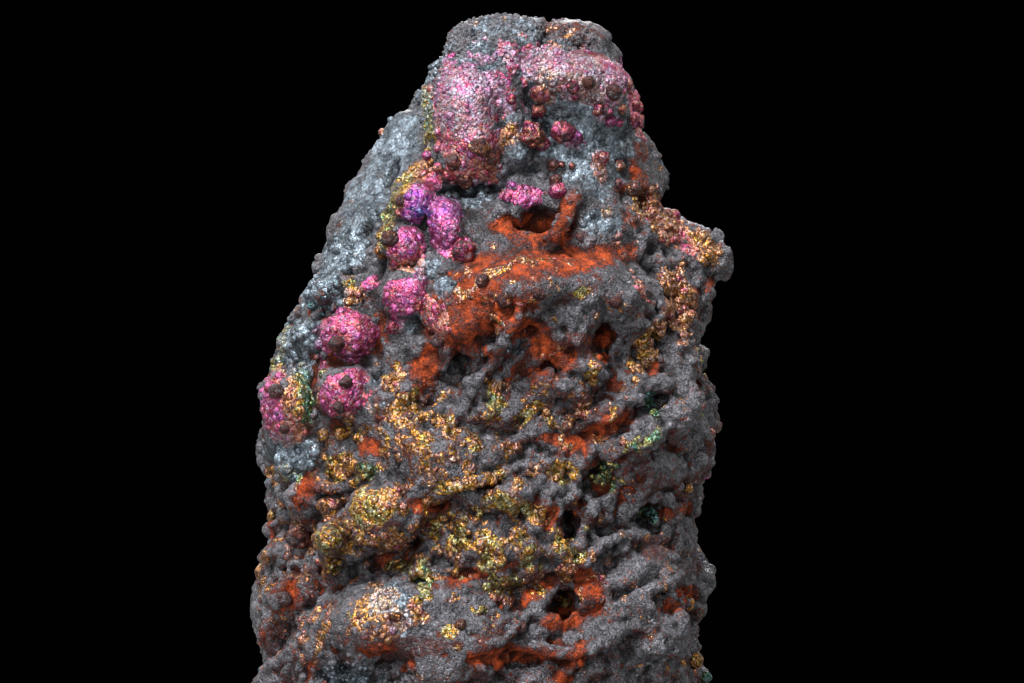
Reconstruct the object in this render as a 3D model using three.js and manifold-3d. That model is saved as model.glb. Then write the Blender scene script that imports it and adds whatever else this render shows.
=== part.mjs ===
// Iridescent goethite specimen: one tooth-shaped piece of botryoidal iron ore that stands on a flat break.
//
// Units are millimetres. +Z is up, +X is to the right and -Y is the front, where the coloured crust is.
// The origin is the middle of the flat base. The stone grew as one piece, so it is one solid: a core with
// broad lobes and slanting folds, set with knobs, nodules and rope-like ridges that grow out of it, and worn
// by holes and a cleft.

import * as THREE from "three";
import { ImprovedNoise } from "three/addons/math/ImprovedNoise.js";
import { mergeVertices } from "three/addons/utils/BufferGeometryUtils.js";
import Module from "manifold-3d";

// ---- driving dimensions --------------------------------------------------------------------------------

const CELL = 3.1; // spacing of the grid that the body's surface is read from
const SHIFT = [-0.22, 1.2, 0]; // moves the stone so that its box is centred on the origin
const BOX = { low: [-36, -30, -8], high: [36, 30, 100] }; // room for the body

// The core's outline at even steps of height: left and right edge, front and back edge.
const STATION_STEP = 8;
const STATION_START = -16;
const STATIONS = [
  [-27.0, 23.5, -18.5, 17.5],
  [-27.8, 24.6, -19.5, 18.5],
  [-28.2, 25.2, -20.5, 19.5],
  [-28.4, 26.0, -21.0, 20.3],
  [-26.8, 25.6, -20.0, 20.3],
  [-27.6, 26.0, -19.6, 19.8],
  [-26.4, 25.2, -19.2, 19.2],
  [-27.2, 26.0, -18.4, 18.4],
  [-27.6, 26.2, -17.8, 17.8],
  [-24.8, 25.6, -17.0, 16.8],
  [-21.2, 24.8, -14.6, 15.2],
  [-16.8, 21.0, -10.6, 13.2],
  [-11.0, 18.2, -8.5, 10.5],
  [-3.5, 12.0, -3.5, 6.0],
  [2.5, 6.0, -0.5, 2.0],
  [3.5, 5.0, 0.3, 1.2],
];
const SECTION_POWER = 2.25; // 2 is an ellipse, more is squarer
const CORE_TOP = 88; // the lobes of the crown close the stone above this

// The masses that give the stone its outline: centre, half sizes, and how softly each joins the rest.
const MASSES = [
  { name: "head", at: [5.0, 0.8, 80.0], half: [12.6, 10.6, 11.8], soft: 3.0 },
  { name: "crown left", at: [2.0, 2.2, 84.2], half: [9.6, 8.4, 9.6], soft: 1.4 },
  { name: "crown right", at: [10.8, 2.0, 86.4], half: [6.2, 6.6, 6.9], soft: 0.9 },
  { name: "left flank", at: [-8.8, 3.8, 73.0], half: [7.0, 9.0, 9.0], soft: 2.0 },
  { name: "right horn", at: [24.2, 1.0, 64.0], half: [4.4, 6.0, 4.6], soft: 1.6 },
  { name: "horn knot", at: [26.0, -0.8, 61.0], half: [2.6, 3.8, 3.4], soft: 1.0 },
];

// Broad lobes that swell out of the masses: where ([x, z] on the front, or a bearing and z elsewhere), half
// sizes (across, in and out, up), how far each stands proud, and how softly it joins.
const LOBES = [
  { name: "shoulder", x: 5.6, z: 59.4, half: [15.0, 9.0, 6.8], proud: 3.8, soft: 1.4 },
  { name: "cheek", x: -2.6, z: 79.8, half: [5.8, 6.0, 8.2], proud: 3.6, soft: 0.6 },
  { name: "brow", x: 8.4, z: 84.4, half: [8.4, 5.0, 3.8], proud: 2.4, soft: 0.8 },
  { name: "grey swell", x: -6.4, z: 42.2, half: [6.8, 5.0, 4.4], proud: 2.6, soft: 0.9 },
  { name: "centre fold", x: 3.4, z: 36.6, half: [7.8, 5.4, 3.4], proud: 2.2, soft: 0.9 },
  { name: "low ledge", x: -6.2, z: 17.6, half: [16.6, 7.4, 6.2], proud: 3.4, soft: 0.9 },
  { name: "low left", x: -24.8, z: 25.0, half: [3.6, 5.4, 4.2], proud: 1.2, soft: 0.9 },
  { name: "right wall", x: 19.0, z: 45.4, half: [6.4, 6.0, 7.6], proud: 1.6, soft: 1.6 },
  { name: "right rib", x: 22.8, z: 32.0, half: [3.6, 6.0, 6.0], proud: 1.2, soft: 1.4 },
  { name: "right foot", x: 18.4, z: 21.6, half: [7.6, 8.0, 7.0], proud: 2.2, soft: 1.2 },
  { name: "foot fold", x: 7.0, z: 10.4, half: [11.0, 6.0, 4.6], proud: 1.8, soft: 1.2 },
  { name: "back brow", bearing: 195, z: 68, half: [8.0, 6.4, 6.4], proud: 2.4, soft: 1.2 },
  { name: "back keel", bearing: 172, z: 52, half: [6.6, 6.4, 12.0], proud: 3.0, soft: 1.6 },
  { name: "back shelf", bearing: 214, z: 34, half: [10.0, 6.6, 6.4], proud: 2.8, soft: 1.2 },
  { name: "back knee", bearing: 140, z: 26, half: [8.6, 7.0, 8.4], proud: 2.6, soft: 1.4 },
  { name: "back foot", bearing: 200, z: 10, half: [13.0, 6.8, 6.0], proud: 2.0, soft: 1.4 },
  { name: "right fold", bearing: 104, z: 40, half: [6.0, 4.6, 5.0], proud: 1.2, soft: 1.0 },
  { name: "left shelf", bearing: 258, z: 18, half: [7.0, 4.8, 5.0], proud: 1.2, soft: 1.0 },
];

// Rounded knobs fused to the front, mostly down its left: [x, z], half sizes and how far each stands proud.
const FRONT_KNOBS = [
  { name: "brow right", x: 15.2, z: 81.4, half: [3.0, 3.6, 4.8], proud: 1.2 },
  { name: "temple ridge", x: 12.6, z: 74.2, half: [2.4, 3.0, 4.6], proud: 1.2 },
  { name: "purple lobe", x: -8.8, z: 70.0, half: [3.5, 4.0, 3.4], proud: 2.6 },
  { name: "pink lobe", x: -10.6, z: 64.6, half: [3.3, 3.8, 3.0], proud: 2.6 },
  { name: "inner lobe", x: -4.8, z: 67.8, half: [2.7, 3.4, 3.9], proud: 2.0 },
  { name: "slant magenta", x: -9.8, z: 59.2, half: [3.6, 4.0, 3.8], proud: 2.4 },
  { name: "upper magenta", x: -16.5, z: 54.9, half: [3.8, 4.4, 3.5], proud: 2.8 },
  { name: "lower magenta", x: -17.2, z: 48.2, half: [3.5, 4.4, 3.7], proud: 2.8 },
  { name: "left cluster", x: -23.6, z: 47.2, half: [3.4, 4.6, 5.0], proud: 1.8 },
  { name: "left knot", x: -21.4, z: 54.6, half: [3.4, 4.4, 3.5], proud: 1.6 },
  { name: "silver rosette", x: -17.6, z: 60.9, half: [3.0, 3.6, 3.0], proud: 1.6 },
  { name: "black cluster", x: -23.0, z: 39.8, half: [3.5, 4.4, 3.3], proud: 1.6 },
  { name: "shoulder knob", x: -4.6, z: 54.2, half: [4.2, 4.4, 3.6], proud: 1.8 },
  { name: "gold swell", x: -12.8, z: 34.6, half: [4.8, 4.8, 4.2], proud: 2.6 },
  { name: "gold ball", x: -18.6, z: 30.2, half: [2.9, 3.6, 2.9], proud: 2.4 },
  { name: "pale ball", x: -14.6, z: 39.4, half: [2.0, 2.4, 2.0], proud: 1.4 },
  { name: "low knob", x: -24.4, z: 22.6, half: [3.2, 4.0, 3.4], proud: 1.8 },
  { name: "foot knob", x: 20.6, z: 17.8, half: [3.8, 4.4, 3.4], proud: 1.8 },
];

// Knobs round the sides and the back, set along a spiral that leaves the front free: how many, between which
// heights, and the share of the free arc that each step turns. proud is a share of the radius.
const REAR_KNOBS = { count: 10, bottom: 8, top: 78, turns: 0.618, radius: [2.8, 4.6], proud: 0.5 };
const FRONT_HALF_ANGLE = 70; // degrees each side of straight ahead that count as the front
const SHARE_STEP = 0.755; // spreads the sizes of the knobs, nodules and holes on the spiral

// Small balls that stand out of the front: [x, z, radius].
const FRONT_NODULES = [
  [9.6, 91.2, 1.7], [4.7, 78.2, 1.8], [8.8, 78.5, 1.6], [14.6, 83.2, 1.5], [15.3, 79.8, 1.4],
  [7.9, 71.6, 1.3], [3.5, 71.0, 1.9], [-4.6, 74.8, 1.7], [-1.4, 76.6, 1.7], [-0.4, 74.0, 1.5],
  [-4.2, 65.0, 1.6], [-24.6, 50.8, 1.5], [-14.2, 48.8, 1.3], [-18.0, 42.4, 1.4], [-26.6, 26.4, 1.8],
  [14.4, 23.4, 1.4], [18.4, 36.8, 1.4],
];

// Balls round the sides and the back, in loose bunches.
const REAR_NODULES = { count: 6, bottom: 5, top: 86, turns: 0.755, radius: [1.3, 2.0] };
const NODULE_SUNK = 0.3; // share of a nodule's radius that its middle lies under the surface

// Holes worn into the front: [x, z, half width, half height, depth].
const FRONT_HOLES = [
  [6.0, 68.4, 4.4, 1.7, 5.0], [13.6, 54.3, 1.4, 1.5, 3.0], [7.0, 50.8, 2.0, 1.3, 3.4],
  [19.8, 46.2, 1.9, 3.1, 5.0], [13.2, 38.4, 2.2, 2.3, 3.6], [19.2, 32.8, 2.0, 1.6, 3.6],
  [9.6, 31.8, 1.1, 2.2, 2.6], [-4.1, 50.6, 1.4, 1.8, 3.0], [-6.4, 35.2, 2.0, 1.1, 2.6],
  [-13.2, 27.4, 2.6, 1.1, 3.0], [-13.0, 18.2, 2.6, 1.1, 2.6], [8.6, 23.4, 1.9, 1.6, 3.4],
  [3.6, 17.0, 4.2, 1.1, 2.8], [21.6, 23.4, 2.2, 1.0, 2.6], [-2.6, 72.0, 4.0, 1.1, 2.6],
];
const REAR_HOLES = { count: 7, bottom: 10, top: 74, turns: 0.57, radius: [1.3, 2.4], depth: 3.2 };
const HOLE_SQUAT = 0.7; // height of a rear hole as a share of its width
const HOLE_OUT = 0.2; // how far a hole's middle lies outside the surface

// The cleft that parts the cheek from the brow, from the top down: [x, z, half width].
const CLEFT = [[1.6, 86.8, 0.7], [2.3, 83.0, 0.9], [3.1, 79.2, 1.0]];
const CLEFT_DEPTH = 3.4;
const CLEFT_REACH = 2.6; // half height of each of its lengths

// Rope-like ridges on the front: points [x, z, how far the middle stands off the surface] and the radius.
const ROPES = [
  {
    name: "bridge",
    radius: 0.9,
    points: [[10.8, 72.4, -0.4], [9.4, 69.8, 1.4], [8.2, 67.4, 1.0], [7.0, 65.0, -0.6]],
  },
  {
    name: "long rope",
    radius: 0.9,
    points: [[3.2, 57.4, -0.6], [1.4, 54.6, 0.5], [-1.2, 52.0, 0.3], [-3.0, 48.0, -0.6]],
  },
  {
    name: "low rope",
    radius: 1.1,
    points: [[1.2, 22.8, -0.8], [6.0, 20.8, 0.3], [11.6, 18.6, 0.2], [17.6, 20.2, -0.8]],
  },
  {
    name: "cavity lip",
    radius: 0.9,
    points: [[14.0, 40.6, -0.6], [17.4, 42.6, 0.2], [21.4, 43.4, -0.6]],
  },
];

// Roughness of the body: the size of its bumps and how high they stand.
const BROAD_BUMPS = { size: 11, height: 2.0 };
const CLOSE_BUMPS = { size: 6.4, height: 1.4 };

// Folds of the lower half, which climb to the right by tilt degrees and fade out towards the top.
const FOLDS = { tilt: 24, top: 62, fade: 12, length: 15, depth: 12, width: 5.4, height: 2.2 };

// ---- noise and blending --------------------------------------------------------------------------------

const perlin = new ImprovedNoise();
const noise = (x, y, z, size) => perlin.noise(x / size + 31.7, y / size + 11.3, z / size + 5.9);

// Smooth minimum of two distances: the join is rounded over about soft.
function join(a, b, soft) {
  const h = Math.max(soft - Math.abs(a - b), 0) / soft;
  return Math.min(a, b) - h * h * soft * 0.25;
}

// Distance to an ellipsoid about the origin, near enough close to its surface.
function ellipsoid(x, y, z, half) {
  const near = Math.hypot(x / half[0], y / half[1], z / half[2]);
  const slope = Math.hypot(x / half[0] ** 2, y / half[1] ** 2, z / half[2] ** 2);
  return slope < 1e-9 ? -Math.min(...half) : (near * (near - 1)) / slope;
}

// ---- core ----------------------------------------------------------------------------------------------

// The core's four edges at height z, on a Catmull-Rom curve through the stations.
function edgesAt(z) {
  const place = (z - STATION_START) / STATION_STEP;
  const i = THREE.MathUtils.clamp(Math.floor(place), 1, STATIONS.length - 3);
  const t = THREE.MathUtils.clamp(place - i, 0, 1);
  return [0, 1, 2, 3].map((edge) => {
    const [p0, p1, p2, p3] = [-1, 0, 1, 2].map((step) => STATIONS[i + step][edge]);
    return (
      0.5 *
      (2 * p1 + (p2 - p0) * t + (2 * p0 - 5 * p1 + 4 * p2 - p3) * t ** 2 + (3 * p1 - p0 - 3 * p2 + p3) * t ** 3)
    );
  });
}

// Distance to the core, whose level sections are between an ellipse and a rectangle.
function core(x, y, z) {
  const [left, right, front, back] = edgesAt(z);
  const [halfX, halfY] = [(right - left) / 2, (back - front) / 2];
  const [u, v] = [Math.abs(x - (left + right) / 2) / halfX, Math.abs(y - (front + back) / 2) / halfY];
  const ring = (u ** SECTION_POWER + v ** SECTION_POWER) ** (1 / SECTION_POWER);
  return Math.max((ring - 1) * Math.sqrt(halfX * halfY), z - CORE_TOP);
}

const swelled = []; // each lobe as its centre, its turn and its half sizes, once it has its seat

// The stone's form before it is roughened: the core, the masses and the lobes seated so far.
function form(x, y, z) {
  let d = core(x, y, z);
  for (const { at, half, soft } of MASSES) {
    d = join(d, ellipsoid(x - at[0], y - at[1], z - at[2], half), soft);
  }
  for (const { at, cos, sin, half, soft } of swelled) {
    const [dx, dy] = [x - at.x, y - at.y];
    d = join(d, ellipsoid(dx * cos + dy * sin, dy * cos - dx * sin, z - at.z, half), soft);
  }
  return d;
}

// ---- surface -------------------------------------------------------------------------------------------


// The body's surface: its form, roughened at two sizes, with slanting folds on the lower half.
function surface(x, y, z) {
  const tilt = THREE.MathUtils.degToRad(FOLDS.tilt);
  const along = x * Math.cos(tilt) + z * Math.sin(tilt);
  const across = z * Math.cos(tilt) - x * Math.sin(tilt);
  const share = THREE.MathUtils.smoothstep(FOLDS.top - z, 0, FOLDS.fade);
  const fold = perlin.noise(along / FOLDS.length + 3.1, y / FOLDS.depth + 7.7, across / FOLDS.width + 1.9);
  let d = form(x, y, z) - FOLDS.height * share * fold;
  for (const { size, height } of [BROAD_BUMPS, CLOSE_BUMPS]) d -= height * noise(x, y, z, size);
  return d;
}

const SEARCH_REACH = 40; // how far outside the search for a seat starts
const SEARCH_STEP = 0.25;
const SLOPE_REACH = 0.6; // half the distance over which the surface's slope is read

// The point where a field's surface is met on a straight way in from outside, and the way out from there.
function seat(field, start, inward) {
  const point = start.clone();
  while (field(...point) > 0 && point.distanceTo(start) < SEARCH_REACH) {
    point.addScaledVector(inward, SEARCH_STEP);
  }
  const slope = [0, 1, 2].map((k) => {
    const [more, less] = [point.toArray(), point.toArray()];
    more[k] += SLOPE_REACH;
    less[k] -= SLOPE_REACH;
    return field(...more) - field(...less);
  });
  return { point, out: new THREE.Vector3(...slope).normalize() };
}

// A seat on the front, straight ahead of [x, z].
function frontSeat(field, x, z) {
  return seat(field, new THREE.Vector3(x, -SEARCH_REACH, z), new THREE.Vector3(0, 1, 0));
}

// A seat at a bearing in degrees: 0 is the front, 90 the right, 180 the back.
function ringSeat(field, bearing, z) {
  const turn = THREE.MathUtils.degToRad(bearing);
  const outward = new THREE.Vector3(Math.sin(turn), -Math.cos(turn), 0);
  const [left, right, front, back] = edgesAt(z);
  const middle = new THREE.Vector3((left + right) / 2, (front + back) / 2, z);
  return seat(field, middle.addScaledVector(outward, SEARCH_REACH), outward.clone().negate());
}

// Seats spread along a spiral, over the sides and the back only. Each has a share from 0 to 1 of its own.
function rearSeats(field, { count, bottom, top, turns }) {
  const span = 360 - 2 * FRONT_HALF_ANGLE;
  return Array.from({ length: count }, (_, n) => {
    const bearing = FRONT_HALF_ANGLE + span * ((n * turns) % 1);
    const z = THREE.MathUtils.lerp(bottom, top, (n + 0.5) / count);
    return { ...ringSeat(field, bearing, z), share: (n * SHARE_STEP) % 1 };
  });
}

const between = ([low, high], share) => THREE.MathUtils.lerp(low, high, share);

// Sets a broad lobe on its seat, turned to face the way out but kept upright.
function swell({ point, out }, half, proud, soft) {
  const flat = Math.hypot(out.x, out.y);
  const at = point.clone().addScaledVector(out, proud - half[1]);
  swelled.push({ at, cos: -out.y / flat, sin: out.x / flat, half, soft });
}

for (const { x, bearing, z, half, proud, soft } of LOBES) {
  swell(bearing === undefined ? frontSeat(form, x, z) : ringSeat(form, bearing, z), half, proud, soft);
}

// Two solid grid points that face each other across the diagonal of an empty square would make an edge that
// four faces share, so one of the square's empty points is filled in, until none is left.
function fillDiagonals(value, count) {
  const step = [1, count[0], count[0] * count[1]];
  const thin = -0.02;
  for (let changed = true; changed; ) {
    changed = false;
    for (let n = 0; n < value.length - step[2] - step[1] - 1; n++)
      for (const [u, v] of [[step[0], step[1]], [step[1], step[2]], [step[2], step[0]]]) {
        const [a, b, c, d] = [n, n + u, n + u + v, n + v];
        const solid = [a, b, c, d].map((m) => value[m] < 0);
        if (solid[0] !== solid[2] || solid[1] !== solid[3] || solid[0] === solid[1]) continue;
        const [p, q] = solid[0] ? [b, d] : [a, c];
        value[value[p] < value[q] ? p : q] = thin;
        changed = true;
      }
  }
}

// Surface nets: one vertex in each cell that the surface crosses, and a quad across each crossed edge.
function surfaceNet(field, { low, high }, cell) {
  const count = low.map((l, k) => Math.ceil((high[k] - l) / cell) + 1);
  const at = (i, j, k) => i + count[0] * (j + count[1] * k);
  const value = new Float64Array(count[0] * count[1] * count[2]);
  const floor = low[2] + 1.5 * cell; // closes the net a little under the base, where it is cut off later
  for (let k = 0; k < count[2]; k++)
    for (let j = 0; j < count[1]; j++)
      for (let i = 0; i < count[0]; i++) {
        const [x, y, z] = [low[0] + i * cell, low[1] + j * cell, low[2] + k * cell];
        value[at(i, j, k)] = Math.max(field(x, y, z), floor - z);
      }
  fillDiagonals(value, count);
  const corners = [0, 1, 2, 3, 4, 5, 6, 7].map((n) => [n & 1, (n >> 1) & 1, n >> 2]);
  const edges = [];
  for (let a = 0; a < 8; a++) for (const bit of [1, 2, 4]) if (!(a & bit)) edges.push([a, a | bit]);
  const vertexOf = new Map();
  const positions = [];
  for (let k = 0; k < count[2] - 1; k++)
    for (let j = 0; j < count[1] - 1; j++)
      for (let i = 0; i < count[0] - 1; i++) {
        const corner = corners.map(([di, dj, dk]) => value[at(i + di, j + dj, k + dk)]);
        const sum = new THREE.Vector3();
        let crossings = 0;
        for (const [a, b] of edges) {
          if (corner[a] < 0 === corner[b] < 0) continue;
          const t = corner[a] / (corner[a] - corner[b]);
          sum.x += THREE.MathUtils.lerp(corners[a][0], corners[b][0], t);
          sum.y += THREE.MathUtils.lerp(corners[a][1], corners[b][1], t);
          sum.z += THREE.MathUtils.lerp(corners[a][2], corners[b][2], t);
          crossings++;
        }
        if (!crossings) continue;
        vertexOf.set(at(i, j, k), positions.length / 3);
        sum.divideScalar(crossings);
        positions.push(low[0] + (i + sum.x) * cell, low[1] + (j + sum.y) * cell, low[2] + (k + sum.z) * cell);
      }
  const index = [];
  const point = (n) => new THREE.Vector3().fromArray(positions, 3 * n);
  const quad = (a, b, c, d) => {
    if (point(a).distanceTo(point(c)) < point(b).distanceTo(point(d))) index.push(a, b, c, a, c, d);
    else index.push(a, b, d, b, c, d);
  };
  const step = [1, count[0], count[0] * count[1]];
  for (let k = 1; k < count[2] - 1; k++)
    for (let j = 1; j < count[1] - 1; j++)
      for (let i = 1; i < count[0] - 1; i++) {
        const here = at(i, j, k);
        for (let axis = 0; axis < 3; axis++) {
          const [inside, next] = [value[here] < 0, value[here + step[axis]] < 0];
          if (inside === next) continue;
          const [u, v] = [step[(axis + 1) % 3], step[(axis + 2) % 3]];
          const ring = [here, here - u, here - u - v, here - v].map((n) => vertexOf.get(n));
          if (inside) quad(...ring);
          else quad(...ring.reverse());
        }
      }
  const geometry = new THREE.BufferGeometry();
  geometry.setAttribute("position", new THREE.Float32BufferAttribute(positions, 3));
  geometry.setIndex(index);
  return geometry;
}

// ---- booleans ------------------------------------------------------------------------------------------

const wasm = await Module();
wasm.setup();

function solidOf(geometry) {
  const bare = geometry.clone();
  bare.deleteAttribute("normal");
  bare.deleteAttribute("uv");
  const merged = mergeVertices(bare, 1e-4);
  return new wasm.Manifold(
    new wasm.Mesh({
      numProp: 3,
      vertProperties: merged.attributes.position.array,
      triVerts: new Uint32Array(merged.index.array),
    }),
  );
}

function geometryOf(solid) {
  const { vertProperties, triVerts } = solid.getMesh();
  const geometry = new THREE.BufferGeometry();
  geometry.setAttribute("position", new THREE.Float32BufferAttribute(vertProperties, 3));
  geometry.setIndex([...triVerts]);
  geometry.computeVertexNormals();
  return geometry;
}

// A ball or hollow: a round form of these half sizes, its second one along the way out of the surface.
// Small ones have few faces.
function round(half, { point, out }, offset) {
  const turn = new THREE.Quaternion().setFromUnitVectors(new THREE.Vector3(0, -1, 0), out);
  const at = point.clone().addScaledVector(out, offset);
  const Form = half[0] * half[2] < FEW_FACES_UNDER ** 2 ? THREE.OctahedronGeometry : THREE.IcosahedronGeometry;
  return new Form(1, 1).scale(...half).applyQuaternion(turn).translate(...at);
}

const FEW_FACES_UNDER = 1.9; // mean radius

function knobs() {
  const front = FRONT_KNOBS.map(({ x, z, half, proud }) => {
    return round(half, frontSeat(surface, x, z), proud - half[1]);
  });
  const rear = rearSeats(surface, REAR_KNOBS).map((place) => {
    const r = between(REAR_KNOBS.radius, place.share);
    return round([r, r, r], place, (REAR_KNOBS.proud - 1) * r);
  });
  return [...front, ...rear];
}

function nodules() {
  const front = FRONT_NODULES.map(([x, z, r]) => round([r, r, r], frontSeat(surface, x, z), -NODULE_SUNK * r));
  const rear = rearSeats(surface, REAR_NODULES).map((place) => {
    const r = between(REAR_NODULES.radius, place.share);
    return round([r, r, r], place, -NODULE_SUNK * r);
  });
  return [...front, ...rear];
}

function holes() {
  const front = FRONT_HOLES.map(([x, z, halfWidth, halfHeight, depth]) => {
    return round([halfWidth, depth, halfHeight], frontSeat(surface, x, z), HOLE_OUT);
  });
  const rear = rearSeats(surface, REAR_HOLES).map((place) => {
    const r = between(REAR_HOLES.radius, place.share);
    return round([r, REAR_HOLES.depth, r * HOLE_SQUAT], place, HOLE_OUT);
  });
  const cleft = CLEFT.map(([x, z, halfWidth]) => {
    return round([halfWidth, CLEFT_DEPTH, CLEFT_REACH], frontSeat(surface, x, z), HOLE_OUT);
  });
  return [...front, ...rear, ...cleft];
}

function rope({ radius, points }) {
  const path = new THREE.CatmullRomCurve3(
    points.map(([x, z, lift]) => {
      const { point, out } = frontSeat(surface, x, z);
      return point.addScaledVector(out, lift);
    }),
  );
  const section = new THREE.Shape(new THREE.EllipseCurve(0, 0, radius, radius).getPoints(6));
  return new THREE.ExtrudeGeometry(section, { extrudePath: path, steps: 5 });
}

function stone() {
  let solid = solidOf(surfaceNet(surface, BOX, CELL));
  for (const grown of [...knobs(), ...ROPES.map(rope), ...nodules()]) solid = solid.add(solidOf(grown));
  for (const worn of holes()) solid = solid.subtract(solidOf(worn));
  const [width, deep, high] = BOX.high.map((h, k) => 2 * (h - BOX.low[k]));
  const underBase = new THREE.BoxGeometry(width, deep, high).translate(0, 0, -high / 2);
  solid = solid.subtract(solidOf(underBase));
  return geometryOf(solid).translate(...SHIFT);
}

// ---- scene graph ---------------------------------------------------------------------------------------

const goethite = new THREE.MeshStandardMaterial({ color: 0x3d3a40, roughness: 0.55, metalness: 0.35 });
const specimen = new THREE.Mesh(stone(), goethite);
specimen.name = "goethite_specimen";

const group = new THREE.Group();
group.add(specimen);

export default group;
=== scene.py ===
"""Iridescent goethite specimen: a tooth-shaped stone with knobs, folds, pits and crusts of bright spherules.

Units are metres in Blender. The tables below give places and sizes in millimetres of the stone's own frame:
+Z is up, +X is to the right, -Y is the front, and the origin is the middle of the flat base.
"""

import math

import bpy
import numpy as np
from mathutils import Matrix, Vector
from mathutils.bvhtree import BVHTree


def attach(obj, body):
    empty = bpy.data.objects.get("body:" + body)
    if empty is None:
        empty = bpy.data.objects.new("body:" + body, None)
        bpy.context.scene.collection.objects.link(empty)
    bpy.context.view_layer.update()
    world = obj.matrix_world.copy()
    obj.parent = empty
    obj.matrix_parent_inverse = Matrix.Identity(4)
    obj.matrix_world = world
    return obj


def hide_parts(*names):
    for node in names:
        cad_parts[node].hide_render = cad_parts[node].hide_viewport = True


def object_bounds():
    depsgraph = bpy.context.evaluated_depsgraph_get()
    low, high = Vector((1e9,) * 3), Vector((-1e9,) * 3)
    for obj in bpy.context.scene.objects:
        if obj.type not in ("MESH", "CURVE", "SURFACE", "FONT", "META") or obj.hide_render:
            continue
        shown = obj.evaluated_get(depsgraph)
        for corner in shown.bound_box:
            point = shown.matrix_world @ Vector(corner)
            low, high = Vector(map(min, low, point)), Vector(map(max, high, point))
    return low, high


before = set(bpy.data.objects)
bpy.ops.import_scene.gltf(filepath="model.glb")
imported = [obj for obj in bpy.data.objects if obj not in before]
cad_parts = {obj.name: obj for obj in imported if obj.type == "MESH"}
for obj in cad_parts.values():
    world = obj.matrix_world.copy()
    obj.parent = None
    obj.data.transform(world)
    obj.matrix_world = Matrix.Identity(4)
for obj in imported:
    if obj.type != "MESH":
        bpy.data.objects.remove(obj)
CAD_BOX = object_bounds()

bl_info = {
    "name": "Iridescent goethite specimen",
    "version": (1, 0, 0),
    "blender": (4, 5, 0),
    "location": "3D View > Sidebar > Goethite",
    "description": "Builds a botryoidal goethite stone with its iridescent crusts, and a stage for it",
    "category": "Add Mesh",
}

MM = 0.001
NODE = "goethite_specimen"
MATERIAL = "bright goethite"
INSET = 0.05  # how far the surface stays inside the solid's box, in millimetres

# ---- places on the front, in millimetres ---------------------------------------------------------------

# Hollows: x, z, half width, half height, tilt in degrees, depth. A depth below 0 fills.
HOLLOWS = [
    (1.4, 68.8, 2.6, 1.4, -8, -3.6),  # left end of the recess under the head, filled
    (5.6, 69.0, 1.7, 1.3, 25, 1.6),
    (-2.6, 72.0, 4.4, 0.9, 6, 1.6),
    (4.6, 74.4, 1.6, 1.1, 0, 1.2),
    (2.4, 73.8, 1.0, 0.7, 30, 1.2),
    (6.3, 90.8, 0.7, 2.4, -18, 3.2),  # gaps in the crown's knob
    (10.8, 88.8, 1.3, 0.7, -40, 2.8),
    (8.8, 91.0, 0.4, 0.8, -10, 1.4),
    (13.2, 54.4, 1.1, 1.1, 0, 2.2),
    (12.9, 51.9, 0.6, 0.5, 0, 1.0),
    (14.2, 50.8, 0.6, 0.5, 0, 1.6),
    (3.3, 53.6, 2.7, 1.2, 22, 1.7),  # ring of ochre round two cavities
    (6.6, 50.5, 2.0, 1.2, -20, 0.6),
    (19.6, 45.8, 1.7, 2.7, 0, 1.5),  # deep cavity on the right
    (13.0, 38.6, 2.1, 2.1, 0, 2.3),
    (18.8, 33.2, 2.1, 1.7, 0, 2.6),
    (6.3, 33.8, 1.1, 1.5, 10, 1.0),
    (9.0, 32.0, 0.6, 1.9, 0, 2.0),
    (-3.7, 50.5, 0.9, 1.5, -15, 0.4),
    (-20.8, 33.1, 1.1, 0.9, 0, 2.2),
    (-17.7, 34.3, 0.5, 1.0, -20, 1.6),
    (-7.2, 34.9, 1.8, 0.7, 5, 1.7),
    (-12.2, 73.6, 0.7, 3.4, -24, 1.8),
    (-15.0, 67.0, 2.2, 0.7, 30, 1.8),
    (-16.6, 62.2, 2.6, 0.7, 20, 2.0),
    (-13.0, 62.6, 0.8, 1.8, -10, 1.8),
    (-20.6, 56.6, 2.0, 0.5, 10, 1.8),
    (-21.0, 51.0, 0.6, 2.8, 0, 1.8),
    (-13.2, 51.6, 0.6, 2.6, 0, 1.4),
    (-16.4, 27.0, 0.8, 2.2, -45, 2.4),
    (-12.8, 27.0, 1.7, 0.5, -8, 1.3),
    (-13.3, 25.0, 1.4, 0.5, 0, 1.2),
    (-6.2, 28.3, 1.1, 0.9, 20, 1.8),
    (-10.9, 24.0, 0.5, 0.4, 0, 1.2),
    (-11.6, 21.2, 0.7, 0.3, 0, 0.8),
    (-13.8, 18.2, 2.0, 0.6, 0, 1.4),
    (-0.7, 17.2, 1.6, 0.6, 0, 1.3),
    (-17.0, 14.6, 3.8, 2.0, 0, 2.2),  # under the low ledge
    (8.2, 23.2, 1.9, 1.4, 22, 2.6),
    (3.8, 17.2, 5.0, 0.7, 3, 1.9),
    (8.8, 16.9, 0.7, 1.3, -25, 2.2),
    (22.4, 23.4, 2.0, 0.5, 20, 1.1),
]

HOLLOW_DEPTH = 0.5

# Places where the stone is narrower all the way round: x, z, half width, half height, tilt in degrees, depth.
TRIMS = [
    (-10.0, 88.6, 4.0, 5.0, 0, 1.9),  # left side of the crown
    (28.6, 48.4, 4.0, 4.0, 0, 2.3),
    (12.6, 93.0, 2.6, 2.4, -30, 0.5),
    (-30.4, 45.4, 3.0, 3.4, 0, 1.3),
    (28.4, 41.8, 2.6, 2.0, 0, 1.1),
]

# The cleft between the cheek and the brow: x, z, half width.
CLEFT = [(1.6, 88.6, 0.6), (1.6, 86.8, 0.7), (2.3, 83.0, 0.9), (3.1, 79.2, 1.0), (3.0, 76.6, 0.8)]
CLEFT_FILL = 1.9  # how far the cleft's floor stands out from the solid's

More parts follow.
